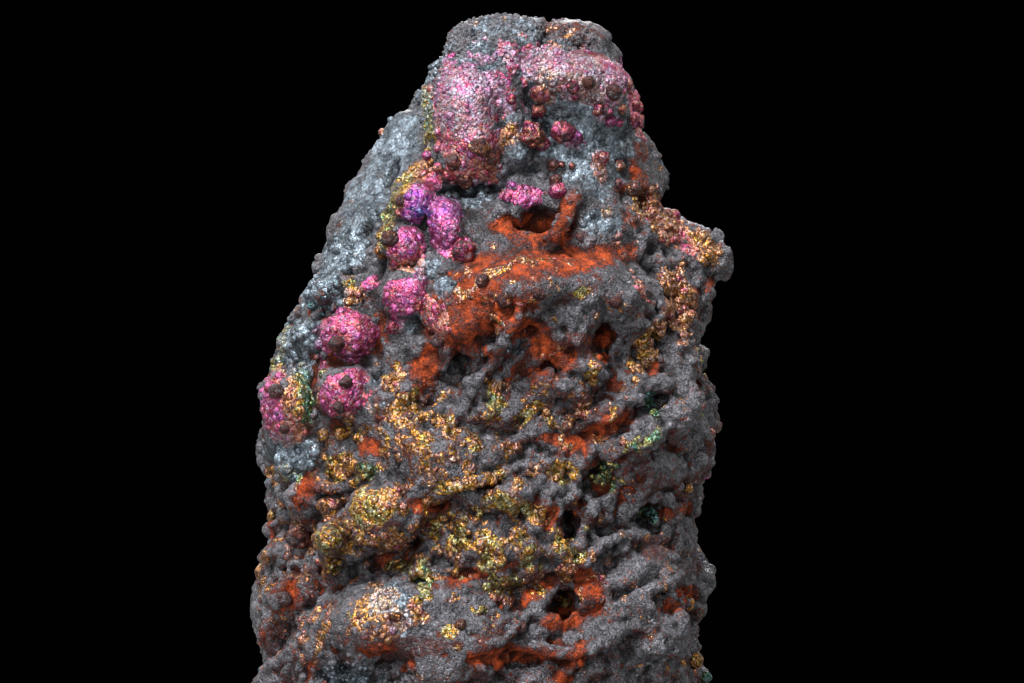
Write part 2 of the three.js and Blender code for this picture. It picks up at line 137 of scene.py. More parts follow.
# Lobes: x, z, half width, half height, tilt in degrees, height.
LOBES = [
    (-2.6, 81.0, 5.0, 7.4, 0, 0.8),  # cheek
    (9.4, 86.0, 7.6, 2.6, -8, 0.9),  # brow
    (0.8, 89.8, 6.4, 3.8, 0, 0.6),
    (11.6, 90.8, 2.6, 2.2, 0, 0.8),
    (-8.6, 70.2, 2.4, 2.4, 0, 0.9),
    (-10.4, 65.4, 2.8, 2.2, 0, 0.9),
    (-5.4, 68.0, 1.9, 3.0, 20, 0.8),
    (-9.8, 59.4, 2.8, 2.8, 0, 0.9),
    (-7.0, 57.6, 1.8, 2.4, 20, 0.6),
    (-16.5, 54.8, 3.2, 3.0, 0, 1.0),
    (-17.2, 48.2, 2.8, 3.0, 0, 1.0),
    (-24.0, 46.6, 2.8, 4.2, 0, 0.5),
    (19.2, 75.4, 2.6, 5.0, -8, 1.3),  # right edge of the head
    (-23.0, 53.4, 2.6, 2.4, 0, 0.7),
    (-19.8, 59.6, 2.0, 2.0, 0, 0.7),
    (4.6, 61.0, 10.0, 2.6, 8, 0.8),  # shoulder
    (-3.6, 57.0, 3.4, 3.6, 50, 0.7),
    (-5.6, 39.6, 5.0, 3.0, 0, 0.8),
    (-13.0, 34.6, 3.4, 2.8, 0, 1.0),
    (-18.4, 30.8, 2.0, 2.0, 0, 1.0),
    (-10.4, 21.8, 11.4, 4.4, 6, 1.5),  # low ledge
    (2.0, 36.0, 4.0, 1.6, 20, 0.8),
    (17.4, 27.4, 4.4, 2.0, 26, 0.8),
    (12.6, 19.4, 5.6, 1.3, 16, 0.8),
    (20.6, 38.6, 3.0, 2.0, 10, 0.7),
]

LOBE_HEIGHT = 1.6

# Ropes: radius, then x, z and how far the middle stands off the surface.
ROPES = [
    # the bridge over the recess
    (0.85, [(10.4, 72.2, -0.3), (9.2, 69.9, 2.0), (8.0, 67.6, 1.8), (6.6, 65.2, -0.2)]),
    (0.60, [(3.6, 57.0, -0.4), (1.6, 54.8, 0.9), (0.0, 52.4, 1.2), (-1.8, 49.6, 0.8), (-3.2, 47.6, -0.4)]),
    (0.75, [(2.2, 18.6, -0.6), (5.6, 18.6, 0.5), (9.4, 18.2, 0.8), (12.6, 18.8, 0.5), (15.2, 19.6, -0.6)]),
    (0.55, [(11.4, 18.4, 0.2), (9.8, 17.2, 0.8), (8.8, 15.6, 0.6), (8.0, 14.2, -0.4)]),
    (0.50, [(16.4, 41.2, -0.2), (18.4, 42.2, 0.5), (20.6, 43.0, -0.2)]),
    (0.60, [(-7.4, 35.6, -0.4), (-3.6, 37.4, 0.4), (1.2, 38.6, 0.5), (4.4, 40.2, -0.4)]),
    (0.65, [(-3.0, 17.6, -0.4), (1.0, 19.4, 0.5), (4.6, 21.8, 0.6), (7.6, 25.4, -0.3)]),
    (0.60, [(16.6, 30.4, -0.4), (18.0, 34.6, 0.5), (20.2, 35.6, 0.4), (22.0, 33.6, -0.4)]),
    (0.70, [(6.0, 27.6, -0.4), (9.8, 28.2, 0.4), (14.0, 30.2, 0.6), (18.4, 31.2, -0.3)]),
    (0.65, [(12.4, 22.0, -0.4), (16.4, 23.4, 0.4), (20.6, 25.8, 0.4), (23.4, 27.4, -0.4)]),
    (0.60, [(-24.8, 35.4, -0.4), (-21.4, 36.6, 0.3), (-17.0, 37.2, 0.4), (-13.0, 39.4, -0.4)]),
    (0.50, [(8.0, 44.6, -0.4), (10.6, 45.4, 0.4), (13.4, 45.0, 0.5), (16.0, 46.4, -0.3)]),
]

# Balls: x, z, radius, place on the film's run of colours, and how strong the film is.
BALLS = [
    (5.9, 83.4, 1.15, 0.70, 0.75), (5.6, 81.4, 0.95, 0.69, 0.75), (4.7, 78.4, 1.6, 0.61, 0.8),
    (6.0, 77.4, 0.9, 0.66, 0.7), (8.5, 78.8, 1.3, 0.74, 0.6), (10.0, 78.2, 0.9, 0.80, 0.7),
    (9.6, 84.0, 0.85, 0.66, 0.5), (9.9, 82.9, 0.5, 0.74, 0.9), (11.5, 84.7, 0.75, 0.4, 0.15),
    (14.4, 83.5, 0.95, 0.0, 0.1), (12.6, 81.5, 0.8, 0.66, 0.6), (13.8, 81.4, 0.7, 0.72, 0.6),
    (14.2, 80.2, 0.7, 0.76, 0.9), (15.2, 80.0, 0.6, 0.76, 0.9), (15.4, 81.6, 0.7, 0.7, 0.5),
    (2.3, 82.6, 0.65, 0.74, 0.9), (8.3, 75.0, 0.5, 0.62, 0.6), (9.5, 74.8, 0.4, 0.7, 0.7),
    (7.3, 74.8, 0.7, 0.58, 0.4), (7.6, 73.0, 0.8, 0.60, 0.4), (7.8, 71.8, 1.0, 0.78, 1.0),
    (13.2, 75.8, 0.8, 0.66, 0.6), (15.1, 74.9, 0.8, 0.62, 0.5), (15.0, 72.8, 0.6, 0.70, 0.6),
    (16.9, 72.2, 1.0, 0.58, 0.4), (-4.4, 75.2, 0.9, 0.62, 0.4), (-1.4, 76.9, 1.2, 0.62, 0.5),
    (-3.2, 73.0, 0.95, 0.60, 0.35), (-0.2, 75.4, 0.9, 0.64, 0.5), (-6.2, 74.6, 0.7, 0.7, 0.6),
    (-7.6, 76.0, 0.6, 0.8, 0.8), (-10.7, 70.5, 0.62, 0.62, 0.2), (-11.9, 66.0, 1.05, 0.60, 0.15),
    (-3.3, 64.6, 1.3, 0.70, 0.6), (-11.5, 55.6, 0.8, 0.76, 0.9), (-18.1, 53.7, 0.9, 0.5, 0.12),
    (-17.0, 49.2, 0.8, 0.5, 0.08), (-17.8, 46.3, 0.8, 0.5, 0.1), (-20.4, 48.0, 0.65, 0.5, 0.1),
    (-25.3, 48.1, 0.95, 0.6, 0.15), (-24.3, 43.7, 0.6, 0.5, 0.2), (-6.2, 54.0, 0.75, 0.5, 0.05),
    (-17.6, 43.2, 0.9, 0.44, 0.9), (-15.9, 42.7, 0.55, 0.48, 1.0), (-19.8, 42.9, 0.8, 0.50, 0.9),
    (-14.7, 38.9, 1.1, 0.28, 0.8), (-18.7, 30.7, 1.7, 0.42, 0.6), (-22.6, 31.0, 1.5, 0.58, 0.3),
    (-24.4, 23.6, 1.0, 0.5, 0.05), (8.8, 44.0, 0.75, 0.55, 0.6), (3.0, 41.6, 0.65, 0.56, 0.8),
    (23.2, 36.6, 0.65, 0.58, 0.9), (11.2, 32.0, 0.45, 0.46, 1.0), (25.3, 16.2, 0.95, 0.42, 0.9),
    (25.8, 21.0, 0.6, 0.42, 0.5), (25.6, 13.6, 0.8, 0.24, 0.7), (-11.0, 22.0, 0.7, 0.45, 0.5),
    (-3.6, 21.0, 0.75, 0.45, 0.3), (-12.0, 19.2, 0.5, 0.55, 0.6), (-3.8, 18.8, 0.7, 0.4, 0.5),
    (14.6, 58.6, 0.8, 0.5, 0.05), (5.4, 59.6, 0.9, 0.5, 0.1), (1.6, 58.8, 1.0, 0.62, 0.3),
    (-1.0, 61.0, 0.8, 0.66, 0.4), (-19.8, 59.4, 1.0, 0.02, 0.6), (-21.2, 58.2, 0.6, 0.04, 0.6),
    (-18.6, 58.0, 0.65, 0.02, 0.6), (-20.0, 57.4, 0.6, 0.02, 0.6), (-18.2, 60.6, 0.6, 0.02, 0.6),
]

# Iridescent crust: x, z, half width, half height, tilt, place on the film's run of colours, coverage.
CRUSTS = [
    (-2.4, 82.8, 5.0, 5.0, 6, 0.79, 0.95),  # cheek
    (-2.4, 77.6, 5.0, 3.4, 0, 0.75, 0.90),
    (-2.0, 74.4, 4.4, 1.9, 0, 0.72, 0.85),
    (2.2, 78.4, 1.0, 1.8, -10, 0.62, 1.0),
    (-7.7, 80.6, 0.7, 4.6, 4, 0.34, 0.9),  # yellow rim of the cheek
    (8.0, 86.6, 8.4, 2.9, -9, 0.76, 0.92),  # brow
    (10.6, 83.6, 4.4, 1.8, -14, 0.68, 0.75),
    (2.8, 87.0, 2.0, 1.6, 0, 0.78, 1.0),
    (-1.2, 87.6, 2.8, 1.6, 0, 0.79, 0.60),
    (8.4, 90.8, 2.0, 1.6, 0, 0.60, 0.40),
    (15.2, 86.2, 1.5, 1.3, -30, 0.80, 1.0),
    (17.4, 82.0, 1.1, 3.2, 8, 0.74, 1.0),
    (6.6, 84.0, 1.4, 2.0, 0, 0.62, 0.8),
    (13.6, 81.2, 1.8, 1.6, 0, 0.76, 0.7),
    (3.4, 71.2, 2.6, 1.3, -6, 0.82, 0.9),
    (12.9, 74.4, 1.0, 2.8, 6, 0.68, 0.7),
    (9.0, 78.6, 1.9, 1.2, -20, 0.80, 0.8),
    (-8.4, 74.4, 1.5, 1.5, 0, 0.62, 1.0),
    (-7.0, 72.8, 1.2, 1.4, -40, 0.80, 1.0),
    (-8.6, 70.2, 2.4, 2.3, 0, 0.93, 1.0),  # purple lobe
    (-10.8, 71.8, 0.8, 4.0, -26, 0.38, 1.0),  # cream rim
    (-12.4, 66.8, 0.8, 2.6, -16, 0.42, 1.0),
    (-10.2, 65.4, 2.6, 2.3, 0, 0.81, 1.0),
    (-5.2, 69.8, 1.6, 1.9, 0, 0.88, 0.9),
    (-5.8, 66.4, 1.9, 2.4, 20, 0.84, 1.0),
    (-9.9, 63.0, 2.0, 1.0, 0, 0.66, 0.9),
    (-3.3, 64.6, 1.5, 1.5, 0, 0.74, 0.7),
    (-9.8, 59.4, 2.8, 2.7, 0, 0.82, 1.0),
    (-6.8, 57.0, 1.8, 2.8, 24, 0.70, 0.8),
    (-11.4, 55.6, 1.1, 1.0, 0, 0.78, 0.9),
    (-16.5, 54.8, 3.4, 3.2, 0, 0.81, 1.0),  # double magenta lobe
    (-17.2, 48.2, 2.9, 3.1, 0, 0.80, 1.0),
    (-16.2, 59.4, 1.3, 1.2, 0, 0.58, 1.0),
    (-14.4, 60.8, 1.4, 0.8, 30, 0.82, 1.0),
    (-16.8, 60.8, 0.9, 0.8, 0, 0.36, 0.9),
    (-25.6, 46.8, 1.7, 4.4, 0, 0.82, 1.0),  # many-coloured lobe
    (-23.4, 47.2, 2.0, 3.0, 0, 0.56, 1.0),
    (-21.8, 47.6, 1.0, 3.2, 8, 0.24, 0.9),
    (-24.0, 43.4, 2.2, 1.6, 0, 0.70, 0.9),
    (-25.8, 52.6, 1.8, 2.8, -20, 0.30, 0.6),
    (-23.5, 38.2, 2.0, 1.0, 0, 0.34, 0.7),
    (-26.6, 37.6, 0.8, 1.2, 0, 0.58, 0.9),
    # gold on the middle and the lower left: faint and wide, then the single clusters
    (-9.0, 42.0, 9.5, 7.0, -10, 0.55, 0.50),
    (-5.0, 32.0, 9.5, 7.0, 0, 0.50, 0.47),
    (-19.0, 33.0, 7.0, 8.5, 0, 0.58, 0.46),
    (-13.0, 22.5, 7.0, 2.6, 8, 0.58, 0.42),
    (4.0, 44.0, 7.0, 6.0, 0, 0.54, 0.40),
    (4.0, 30.0, 7.0, 5.0, 0, 0.48, 0.40),
    (0.0, 36.5, 5.0, 4.0, 0, 0.52, 0.44),
    (11.0, 46.0, 5.0, 6.0, 0, 0.57, 0.34),
    (16.0, 28.0, 8.0, 8.0, 0, 0.58, 0.22),
    (-23.0, 22.0, 5.0, 6.0, 0, 0.60, 0.36),
    (-1.0, 60.8, 4.8, 3.0, 20, 0.61, 0.42),
    (4.6, 62.6, 7.0, 1.8, 8, 0.58, 0.38),
    (-11.8, 50.2, 1.8, 2.8, 10, 0.52, 0.6),
    (-15.0, 43.6, 3.4, 1.4, 0, 0.46, 0.55),
    (-17.5, 39.4, 1.9, 1.9, 0, 0.50, 0.95),
    (-14.7, 38.8, 1.3, 1.2, 0, 0.28, 0.95),
    (-6.6, 44.0, 4.4, 2.6, -12, 0.50, 0.60),
    (-9.0, 47.4, 1.4, 2.2, 0, 0.46, 0.6),
    (-3.2, 42.0, 3.4, 1.4, -14, 0.48, 0.6),
    (-7.6, 40.8, 3.4, 1.4, 10, 0.54, 0.55),
    (0.6, 46.6, 1.5, 1.2, 0, 0.38, 0.8),
    (1.4, 48.6, 1.0, 0.7, 0, 0.58, 0.8),
    (4.2, 45.6, 2.3, 0.8, 40, 0.44, 0.8),
    (2.0, 41.6, 0.8, 0.7, 0, 0.56, 0.9),
    (11.8, 50.6, 1.0, 1.9, -8, 0.50, 0.8),
    (10.6, 46.4, 1.1, 1.8, 0, 0.60, 0.5),
    (8.3, 38.8, 1.9, 1.3, -20, 0.48, 0.9),
    (0.8, 38.4, 0.9, 1.4, -20, 0.46, 0.8),
    (-3.8, 37.2, 2.6, 1.2, 10, 0.48, 0.6),
    (-13.8, 34.8, 2.6, 2.4, 0, 0.43, 0.75),  # gold swell
    (-12.0, 35.8, 1.7, 1.2, 30, 0.58, 0.9),
    (-11.4, 30.4, 2.8, 1.6, -10, 0.54, 0.7),
    (-10.8, 27.8, 1.4, 0.8, 0, 0.42, 0.9),
    (-18.6, 30.8, 1.9, 2.1, 0, 0.44, 0.75),
    (-22.8, 31.4, 2.2, 1.6, 0, 0.56, 0.45),
    (-23.6, 28.6, 1.6, 1.4, 0, 0.60, 0.5),
    (-27.0, 26.4, 1.2, 2.8, 6, 0.56, 0.6),
    (-18.4, 27.2, 1.0, 0.8, 0, 0.42, 0.7),
    (-4.4, 33.4, 2.2, 1.4, 0, 0.46, 0.5),
    (2.6, 34.8, 3.4, 1.2, -14, 0.44, 0.95),
    (5.2, 33.8, 1.2, 1.2, 0, 0.52, 0.9),
    (-3.6, 31.2, 1.9, 1.4, 0, 0.46, 0.9),
    (-0.8, 30.8, 1.3, 1.7, 0, 0.48, 0.9),
    (0.4, 28.2, 1.4, 0.9, 30, 0.44, 1.0),
    (8.6, 31.0, 0.9, 2.1, -24, 0.45, 1.0),
    (10.0, 29.2, 1.2, 1.0, 0, 0.42, 0.9),
    (8.8, 26.8, 1.2, 1.2, 0, 0.58, 0.7),
    (4.0, 28.8, 0.9, 1.6, -20, 0.42, 0.7),
    (1.6, 25.6, 2.9, 1.5, 8, 0.40, 0.6),
    (0.8, 23.8, 2.4, 0.8, 0, 0.66, 0.6),
    (-1.4, 22.8, 1.2, 0.6, 0, 0.38, 0.9),
    (-7.8, 25.6, 1.1, 2.1, 6, 0.36, 1.0),  # olive drop
    (-12.6, 24.0, 2.8, 1.5, 20, 0.54, 0.9),
    (-11.4, 21.4, 1.6, 2.4, 10, 0.64, 0.9),
    (-16.4, 21.6, 1.0, 0.7, 0, 0.50, 0.6),
    (-4.9, 20.4, 1.1, 1.1, 30, 0.46, 0.9),
    (-19.6, 20.6, 0.5, 4.2, -14, 0.58, 0.7),
    (-9.0, 18.8, 1.0, 0.8, 0, 0.45, 0.6),
    (8.4, 23.2, 1.0, 0.8, 0, 0.46, 0.8),
    # copper and gold near the horn
    (18.5, 53.4, 1.6, 3.4, -24, 0.54, 1.0),
    (22.2, 58.8, 2.0, 4.6, 4, 0.61, 1.0),
    (20.8, 68.6, 2.2, 5.0, 38, 0.61, 1.0),
    (23.4, 65.6, 0.9, 1.8, 28, 0.78, 0.9),
    (25.0, 65.4, 1.4, 2.6, 28, 0.55, 1.0),
    (17.6, 70.2, 0.7, 2.6, 10, 0.54, 0.8),
    (13.6, 70.6, 1.2, 2.2, 4, 0.50, 0.35),
    (16.6, 62.4, 0.4, 4.0, 24, 0.66, 0.6),
    # green in the cavities
    (13.2, 38.2, 1.7, 1.7, 0, 0.30, 1.0),
    (18.8, 46.8, 1.1, 1.4, 0, 0.18, 0.9),
    (18.0, 42.2, 2.4, 0.6, 24, 0.30, 1.0),
    (18.6, 33.4, 1.3, 1.0, 0, 0.22, 0.8),
    (10.4, 59.6, 1.0, 0.9, 0, 0.42, 0.7),
]

# Silver crust: x, z, half width, half height, tilt, coverage.
SILVERS = [
    (0.8, 89.6, 7.4, 4.4, 0, 0.45),  # dome of the crown
    (-2.4, 83.4, 5.4, 6.2, 0, 0.78),
    (-2.4, 77.4, 5.0, 3.0, 0, 0.45),
    (8.4, 86.0, 9.0, 3.6, -9, 0.75),
    (-6.6, 87.0, 2.0, 4.6, -30, 0.5),
    (-11.6, 77.4, 3.0, 5.0, -18, 0.8),  # left flank
    (-14.8, 70.4, 2.8, 4.4, -24, 0.7),
    (-17.6, 64.6, 2.8, 3.6, -26, 0.8),
    (-19.8, 60.4, 3.0, 3.0, 0, 0.9),
    (-7.8, 62.4, 1.6, 1.6, 0, 0.95),
    (-5.6, 60.6, 1.4, 1.6, 0, 0.95),
    (-9.8, 56.0, 2.6, 1.4, 0, 0.6),
    (-23.0, 53.6, 3.4, 3.4, 0, 0.8),
    (-23.7, 40.6, 3.2, 2.6, 0, 0.9),
    (-13.4, 47.4, 1.2, 4.0, 0, 0.5),
    (4.8, 82.2, 1.0, 3.4, 0, 0.7),
    (10.0, 79.6, 6.4, 5.0, 0, 1.0),
    (11.0, 74.0, 5.0, 3.4, 0, 0.60),
    (3.0, 75.0, 3.4, 2.0, 0, 0.5),
    (-17.0, 15.0, 3.8, 1.8, 0, 0.8),
    (3.2, 53.4, 1.6, 0.9, 20, 0.7),
    (13.2, 67.8, 2.8, 1.8, 0, 0.7),
    (-1.4, 71.6, 5.0, 1.6, 8, 0.6),
    (-12.2, 24.0, 2.8, 1.5, 20, 0.9),  # pale drip on the low ledge
    (-10.6, 21.6, 1.2, 1.8, 10, 0.8),
]

# Places where silver spherules stand proud: x, z, half width, half height, tilt, share.
SILVER_GRAINS = [
    (0.8, 89.8, 7.6, 4.0, 0, 0.7),  # dome of the crown
    (-6.6, 87.2, 2.2, 4.4, -30, 0.8),
    (8.6, 90.6, 3.0, 1.6, 0, 0.4),
    (-14.6, 15.0, 5.0, 1.6, 0, 0.8),
]
SILVER_BOTRYOIDS = [
    (-19.8, 59.8, 2.8, 2.8, 0, 1.0),
    (-7.8, 62.4, 1.6, 1.6, 0, 1.0),
    (-5.4, 60.4, 1.4, 1.6, 0, 1.0),
    (-23.0, 53.8, 3.6, 3.2, 0, 1.0),
    (-26.0, 50.4, 1.6, 3.0, 0, 0.9),
    (-23.7, 40.4, 3.4, 2.8, 0, 0.9),
    (-14.0, 65.0, 1.2, 2.0, -20, 0.7),
    (-17.4, 64.4, 2.0, 2.2, -26, 0.9),
    (-12.8, 70.6, 1.0, 2.4, -24, 0.6),
    (13.2, 67.8, 2.6, 1.6, 0, 1.0),
    (5.6, 74.6, 1.6, 1.2, 0, 0.6),
    (-1.4, 71.8, 4.6, 1.0, 8, 0.7),
    (19.8, 69.0, 1.0, 1.6, 0, 0.6),
]

# Ochre stain: x, z, half width, half height, tilt, strength.
OCHRES = [
    (5.6, 62.8, 9.6, 1.7, 9, 0.9),
    (-1.2, 60.4, 3.8, 2.4, 35, 0.9),
    (-4.2, 56.0, 3.0, 3.4, 30, 0.95),
    (-7.6, 51.2, 1.4, 2.6, -30, 0.9),
    (-10.2, 47.6, 2.0, 0.9, 30, 0.8),
    (12.0, 67.6, 5.0, 1.6, 10, 0.5),
    (6.4, 66.6, 3.4, 1.4, 0, 0.9),
    (3.4, 67.8, 3.6, 1.2, 4, 1.0),
    (8.7, 69.0, 0.9, 3.8, -25, 1.0),
    (8.8, 69.6, 0.9, 3.2, -24, 0.95),
    (0.6, 57.2, 4.0, 2.0, 20, 0.85),
    (3.0, 55.8, 4.0, 1.1, -8, 0.9),
    (6.8, 52.8, 4.4, 1.5, -26, 0.95),
    (5.6, 50.2, 3.0, 2.0, -20, 0.6),
    (1.0, 52.4, 1.8, 0.9, 30, 0.6),
    (-0.6, 63.4, 3.0, 1.2, 20, 0.55),
    (10.2, 54.0, 2.8, 1.2, 0, 0.35),
    (13.2, 54.4, 1.0, 1.0, 0, 1.0),
    (12.9, 52.0, 0.7, 0.6, 0, 0.8),
    (19.2, 51.0, 0.8, 1.6, -10, 0.5),
    (12.4, 43.4, 4.8, 1.0, 32, 0.85),
    (8.6, 42.4, 3.2, 0.7, -6, 0.85),
    (11.4, 40.8, 0.8, 1.6, 10, 0.7),
    (22.0, 33.8, 2.4, 0.8, 12, 0.9),
    (6.4, 33.6, 1.4, 1.7, 0, 0.75),
    (-1.8, 26.8, 4.4, 0.7, 16, 0.8),
    (11.2, 25.2, 1.4, 2.6, 30, 0.95),
    (8.2, 21.4, 2.8, 1.1, 10, 1.0),
    (5.2, 24.6, 3.0, 1.0, 34, 0.85),
    (2.8, 17.4, 4.8, 1.0, 2, 1.0),
    (9.6, 17.0, 1.8, 1.0, 50, 1.0),
    (8.2, 14.8, 1.2, 0.9, 0, 1.0),
    (22.4, 23.4, 2.4, 0.9, 20, 1.0),
    (-7.2, 34.8, 2.0, 1.0, 0, 1.0),
    (-3.8, 33.0, 1.6, 1.0, -30, 0.3),
    (-21.8, 36.0, 1.2, 2.4, -28, 0.95),
    (-14.2, 41.8, 1.4, 1.6, 30, 0.8),
    (-13.2, 46.0, 0.7, 2.6, 0, 0.6),
    (-24.2, 24.0, 1.9, 2.0, 0, 0.8),
    (-26.6, 31.4, 0.8, 2.8, 10, 0.5),
    (-13.6, 18.3, 2.3, 1.0, 0, 1.0),
    (-0.5, 17.3, 2.2, 0.9, 0, 1.0),
    (-9.4, 16.2, 1.2, 0.6, 20, 0.7),
    (-26.8, 19.0, 1.0, 1.0, 0, 0.6),
    (-21.2, 15.4, 0.5, 2.4, -20, 0.6),
    (17.8, 77.0, 0.9, 2.4, 6, 0.6),
    (17.6, 72.8, 1.0, 3.2, 8, 0.85),
    (15.4, 72.2, 1.4, 0.8, 0, 0.6),
    (-14.6, 72.6, 1.4, 2.2, -20, 0.35),
    (26.0, 60.8, 0.6, 1.0, -20, 0.8),
    (24.0, 59.6, 0.6, 0.8, 0, 0.6),
    (-10.4, 36.8, 1.0, 0.4, 0, 0.5),
    (14.8, 31.8, 1.0, 0.5, 10, 0.35),
]

# Maroon bloom on warty grey stone: x, z, half width, half height, tilt, strength.
MAROONS = [
    (9.6, 59.4, 3.8, 0.8, 24, 0.8),
    (10.6, 53.6, 3.4, 1.6, 0, 0.8),
    (15.0, 45.0, 3.0, 1.6, 0, 0.6),
    (14.6, 40.6, 3.0, 1.0, 10, 0.5),
    (-6.2, 32.6, 5.0, 1.2, 20, 0.5),
    (3.0, 31.0, 2.4, 1.2, 0, 0.5),
    (14.0, 24.4, 3.0, 1.2, 20, 0.6),
    (19.8, 29.4, 2.4, 1.6, 20, 0.7),
    (23.8, 27.4, 1.6, 2.6, 0, 0.6),
    (10.6, 21.4, 2.2, 1.2, 20, 0.6),
    (13.4, 17.2, 2.6, 1.0, 20, 0.6),
    (-9.4, 18.4, 7.0, 1.3, 6, 0.7),
    (-16.0, 19.4, 3.0, 0.9, 0, 0.6),
    (-1.6, 16.6, 3.0, 1.0, 30, 0.6),
    (-24.6, 20.0, 2.6, 1.8, 0, 0.6),
    (-21.6, 26.4, 1.8, 1.4, 0, 0.6),
    (17.8, 20.0, 2.6, 1.4, 10, 0.5),
    (23.0, 35.4, 2.4, 1.0, 10, 0.6),
    (-16.4, 73.0, 2.6, 3.0, -20, 0.4),
    (9.6, 91.0, 4.4, 3.4, 0, 0.55),  # crown
    (-3.0, 91.0, 5.5, 3.0, -20, 0.40),
    (17.0, 37.0, 3.0, 1.4, 20, 0.5),
]

# ---- noise ---------------------------------------------------------------------------------------------


def hashed(cell, seed):
    """Random numbers from 0 to 1, one for each whole-number place."""
    n = (cell[:, 0] * 73856093) ^ (cell[:, 1] * 19349663) ^ (cell[:, 2] * 83492791) ^ (seed * 40503 + 977)
    n = n & 0xFFFFFFFF
    n = ((n ^ (n >> 15)) * 0x2C1B3C6D) & 0xFFFFFFFF
    n = ((n ^ (n >> 12)) * 0x297A2D39) & 0xFFFFFFFF
    return (n ^ (n >> 15)) / 0xFFFFFFFF


def noise(points, size, seed=0):
    """Smooth noise, mostly within -1 to 1, whose bumps are about as wide as size."""
    grid = points / size + 17.3 * (seed + 1)
    base = np.floor(grid).astype(np.int64)
    offset = grid - base
    fade = offset**3 * (offset * (offset * 6 - 15) + 10)
    total = np.zeros(len(points))
    for corner in np.ndindex(2, 2, 2):
        weight = np.prod(np.where(corner, fade, 1 - fade), axis=1)
        lean = [hashed(base + corner, 3 * seed + k) * 2 - 1 for k in range(3)]
        total += weight * sum(lean[k] * (offset[:, k] - corner[k]) for k in range(3))
    return total * 1.7


def layered(points, size, seed=0, layers=3):
    """Noise of several sizes, each half as wide and half as high as the one before."""
    return sum(noise(points, size / 2**k, seed + 11 * k) / 2**k for k in range(layers))


def cells(points, size, seed=0):
    """Nearest and second distances to points scattered one to a cell, and a number of the nearest's own."""
    grid = points / size
    base = np.floor(grid).astype(np.int64)
    first = np.full(len(points), 9.0)
    second = first.copy()
    own = np.zeros(len(points))
    for step in np.ndindex(3, 3, 3):
        cell = base + (np.array(step) - 1)
        spot = cell + np.stack([hashed(cell, 7 * seed + k) for k in range(3)], axis=1)
        far = np.linalg.norm(spot - grid, axis=1)
        nearer = far < first
        second = np.where(nearer, first, np.minimum(second, far))
        own = np.where(nearer, hashed(cell, 7 * seed + 5), own)
        first = np.where(nearer, far, first)
    return first, second, own


def domes(points, size, seed=0, least=0.35, most=0.8):
    """Heights from 0 to 1 of round bumps, one to a cell, whose radii are shares of the cell's size."""
    first, _, own = cells(points, size, seed)
    radius = least + (most - least) * own
    return np.sqrt(np.clip(1 - (first / radius) ** 2, 0, 1)) * radius / most


def packed(points, size, seed=0):
    """Heights from 0 to 1 of round bumps that press against each other, with creases between them."""
    first, _, own = cells(points, size, seed)
    return np.clip(1 - (first / 0.85) ** 2, 0, 1) * (0.6 + 0.4 * own)


def warped(points, size, share, seed=0):
    """The points pushed about by noise, so that patterns laid on them bend."""
    return points + size * share * np.stack([noise(points, size, seed + k) for k in range(3)], axis=1)


def ramp(value, low, high):
    """0 up to low, 1 from high on, and smooth between. High may be the smaller one."""
    t = np.clip((value - low) / (high - low), 0, 1)
    return t * t * (3 - 2 * t)


# ---- places --------------------------------------------------------------------------------------------


def across_ellipse(points, x, z, half_x, half_z, tilt):
    """How far out each point is in a tilted ellipse on the front: 0 in the middle and 1 on its edge."""
    turn = math.radians(tilt)
    dx, dz = points[:, 0] - x, points[:, 2] - z
    along = dx * math.cos(turn) + dz * math.sin(turn)
    across = dz * math.cos(turn) - dx * math.sin(turn)
    return np.hypot(along / half_x, across / half_z)


def facing_front(normals):
    return ramp(normals[:, 1], 0.35, -0.2)


def near_path(points, path):
    """Distance on the front to a chain of straight lines, and the half width of the line there."""
    best = np.full(len(points), 99.0)
    width = np.zeros(len(points))
    flat = points[:, (0, 2)]
    for (x0, z0, w0), (x1, z1, w1) in zip(path, path[1:]):
        start, step = np.array([x0, z0]), np.array([x1 - x0, z1 - z0])
        t = np.clip((flat - start) @ step / (step @ step), 0, 1)
        far = np.linalg.norm(flat - start - t[:, None] * step, axis=1)
        nearer = far < best
        best = np.where(nearer, far, best)
        width = np.where(nearer, w0 + (w1 - w0) * t, width)
    return best, width


# ---- mesh help -----------------------------------------------------------------------------------------


def read(collection, name, width):
    values = np.empty(len(collection) * width, dtype=np.float32)
    collection.foreach_get(name, values)
    return values.reshape(-1, width).astype(float) if width > 1 else values.astype(float)


def points_of(mesh):
    return read(mesh.vertices, "co", 3) / MM


def normals_of(mesh):
    return read(mesh.vertex_normals, "vector", 3)


def move_points(mesh, points):
    mesh.vertices.foreach_set("co", (points * MM).astype(np.float32).ravel())
    mesh.update()


def keep_values(mesh, **values):
    for name, numbers in values.items():
        layer = mesh.attributes.new(name, "FLOAT", "POINT")
        layer.data.foreach_set("value", numbers.astype(np.float32))


def only(obj):
    bpy.ops.object.select_all(action="DESELECT")
    obj.select_set(True)
    bpy.context.view_layer.objects.active = obj


def modified(obj, kind, **settings):
    """Adds a modifier with these settings and applies it."""
    only(obj)
    modifier = obj.modifiers.new(kind.lower(), kind)
    for name, value in settings.items():
        setattr(modifier, name, value)
    bpy.ops.object.modifier_apply(modifier=modifier.name)


def mesh_from(name, points, faces):
    """A new object of triangles, its points in millimetres."""
    mesh = bpy.data.meshes.new(name)
    mesh.vertices.add(len(points))
    mesh.loops.add(faces.size)
    mesh.loops.foreach_set("vertex_index", faces.astype(np.int32).ravel())
    mesh.polygons.add(len(faces))
    mesh.polygons.foreach_set("loop_start", np.arange(0, faces.size, 3, dtype=np.int32))
    move_points(mesh, points)
    mesh.update(calc_edges=True)
    mesh.validate()
    obj = bpy.data.objects.new(name, mesh)
    bpy.context.scene.collection.objects.link(obj)
    return obj


def tree_of(obj):
    return BVHTree.FromObject(obj, bpy.context.evaluated_depsgraph_get())


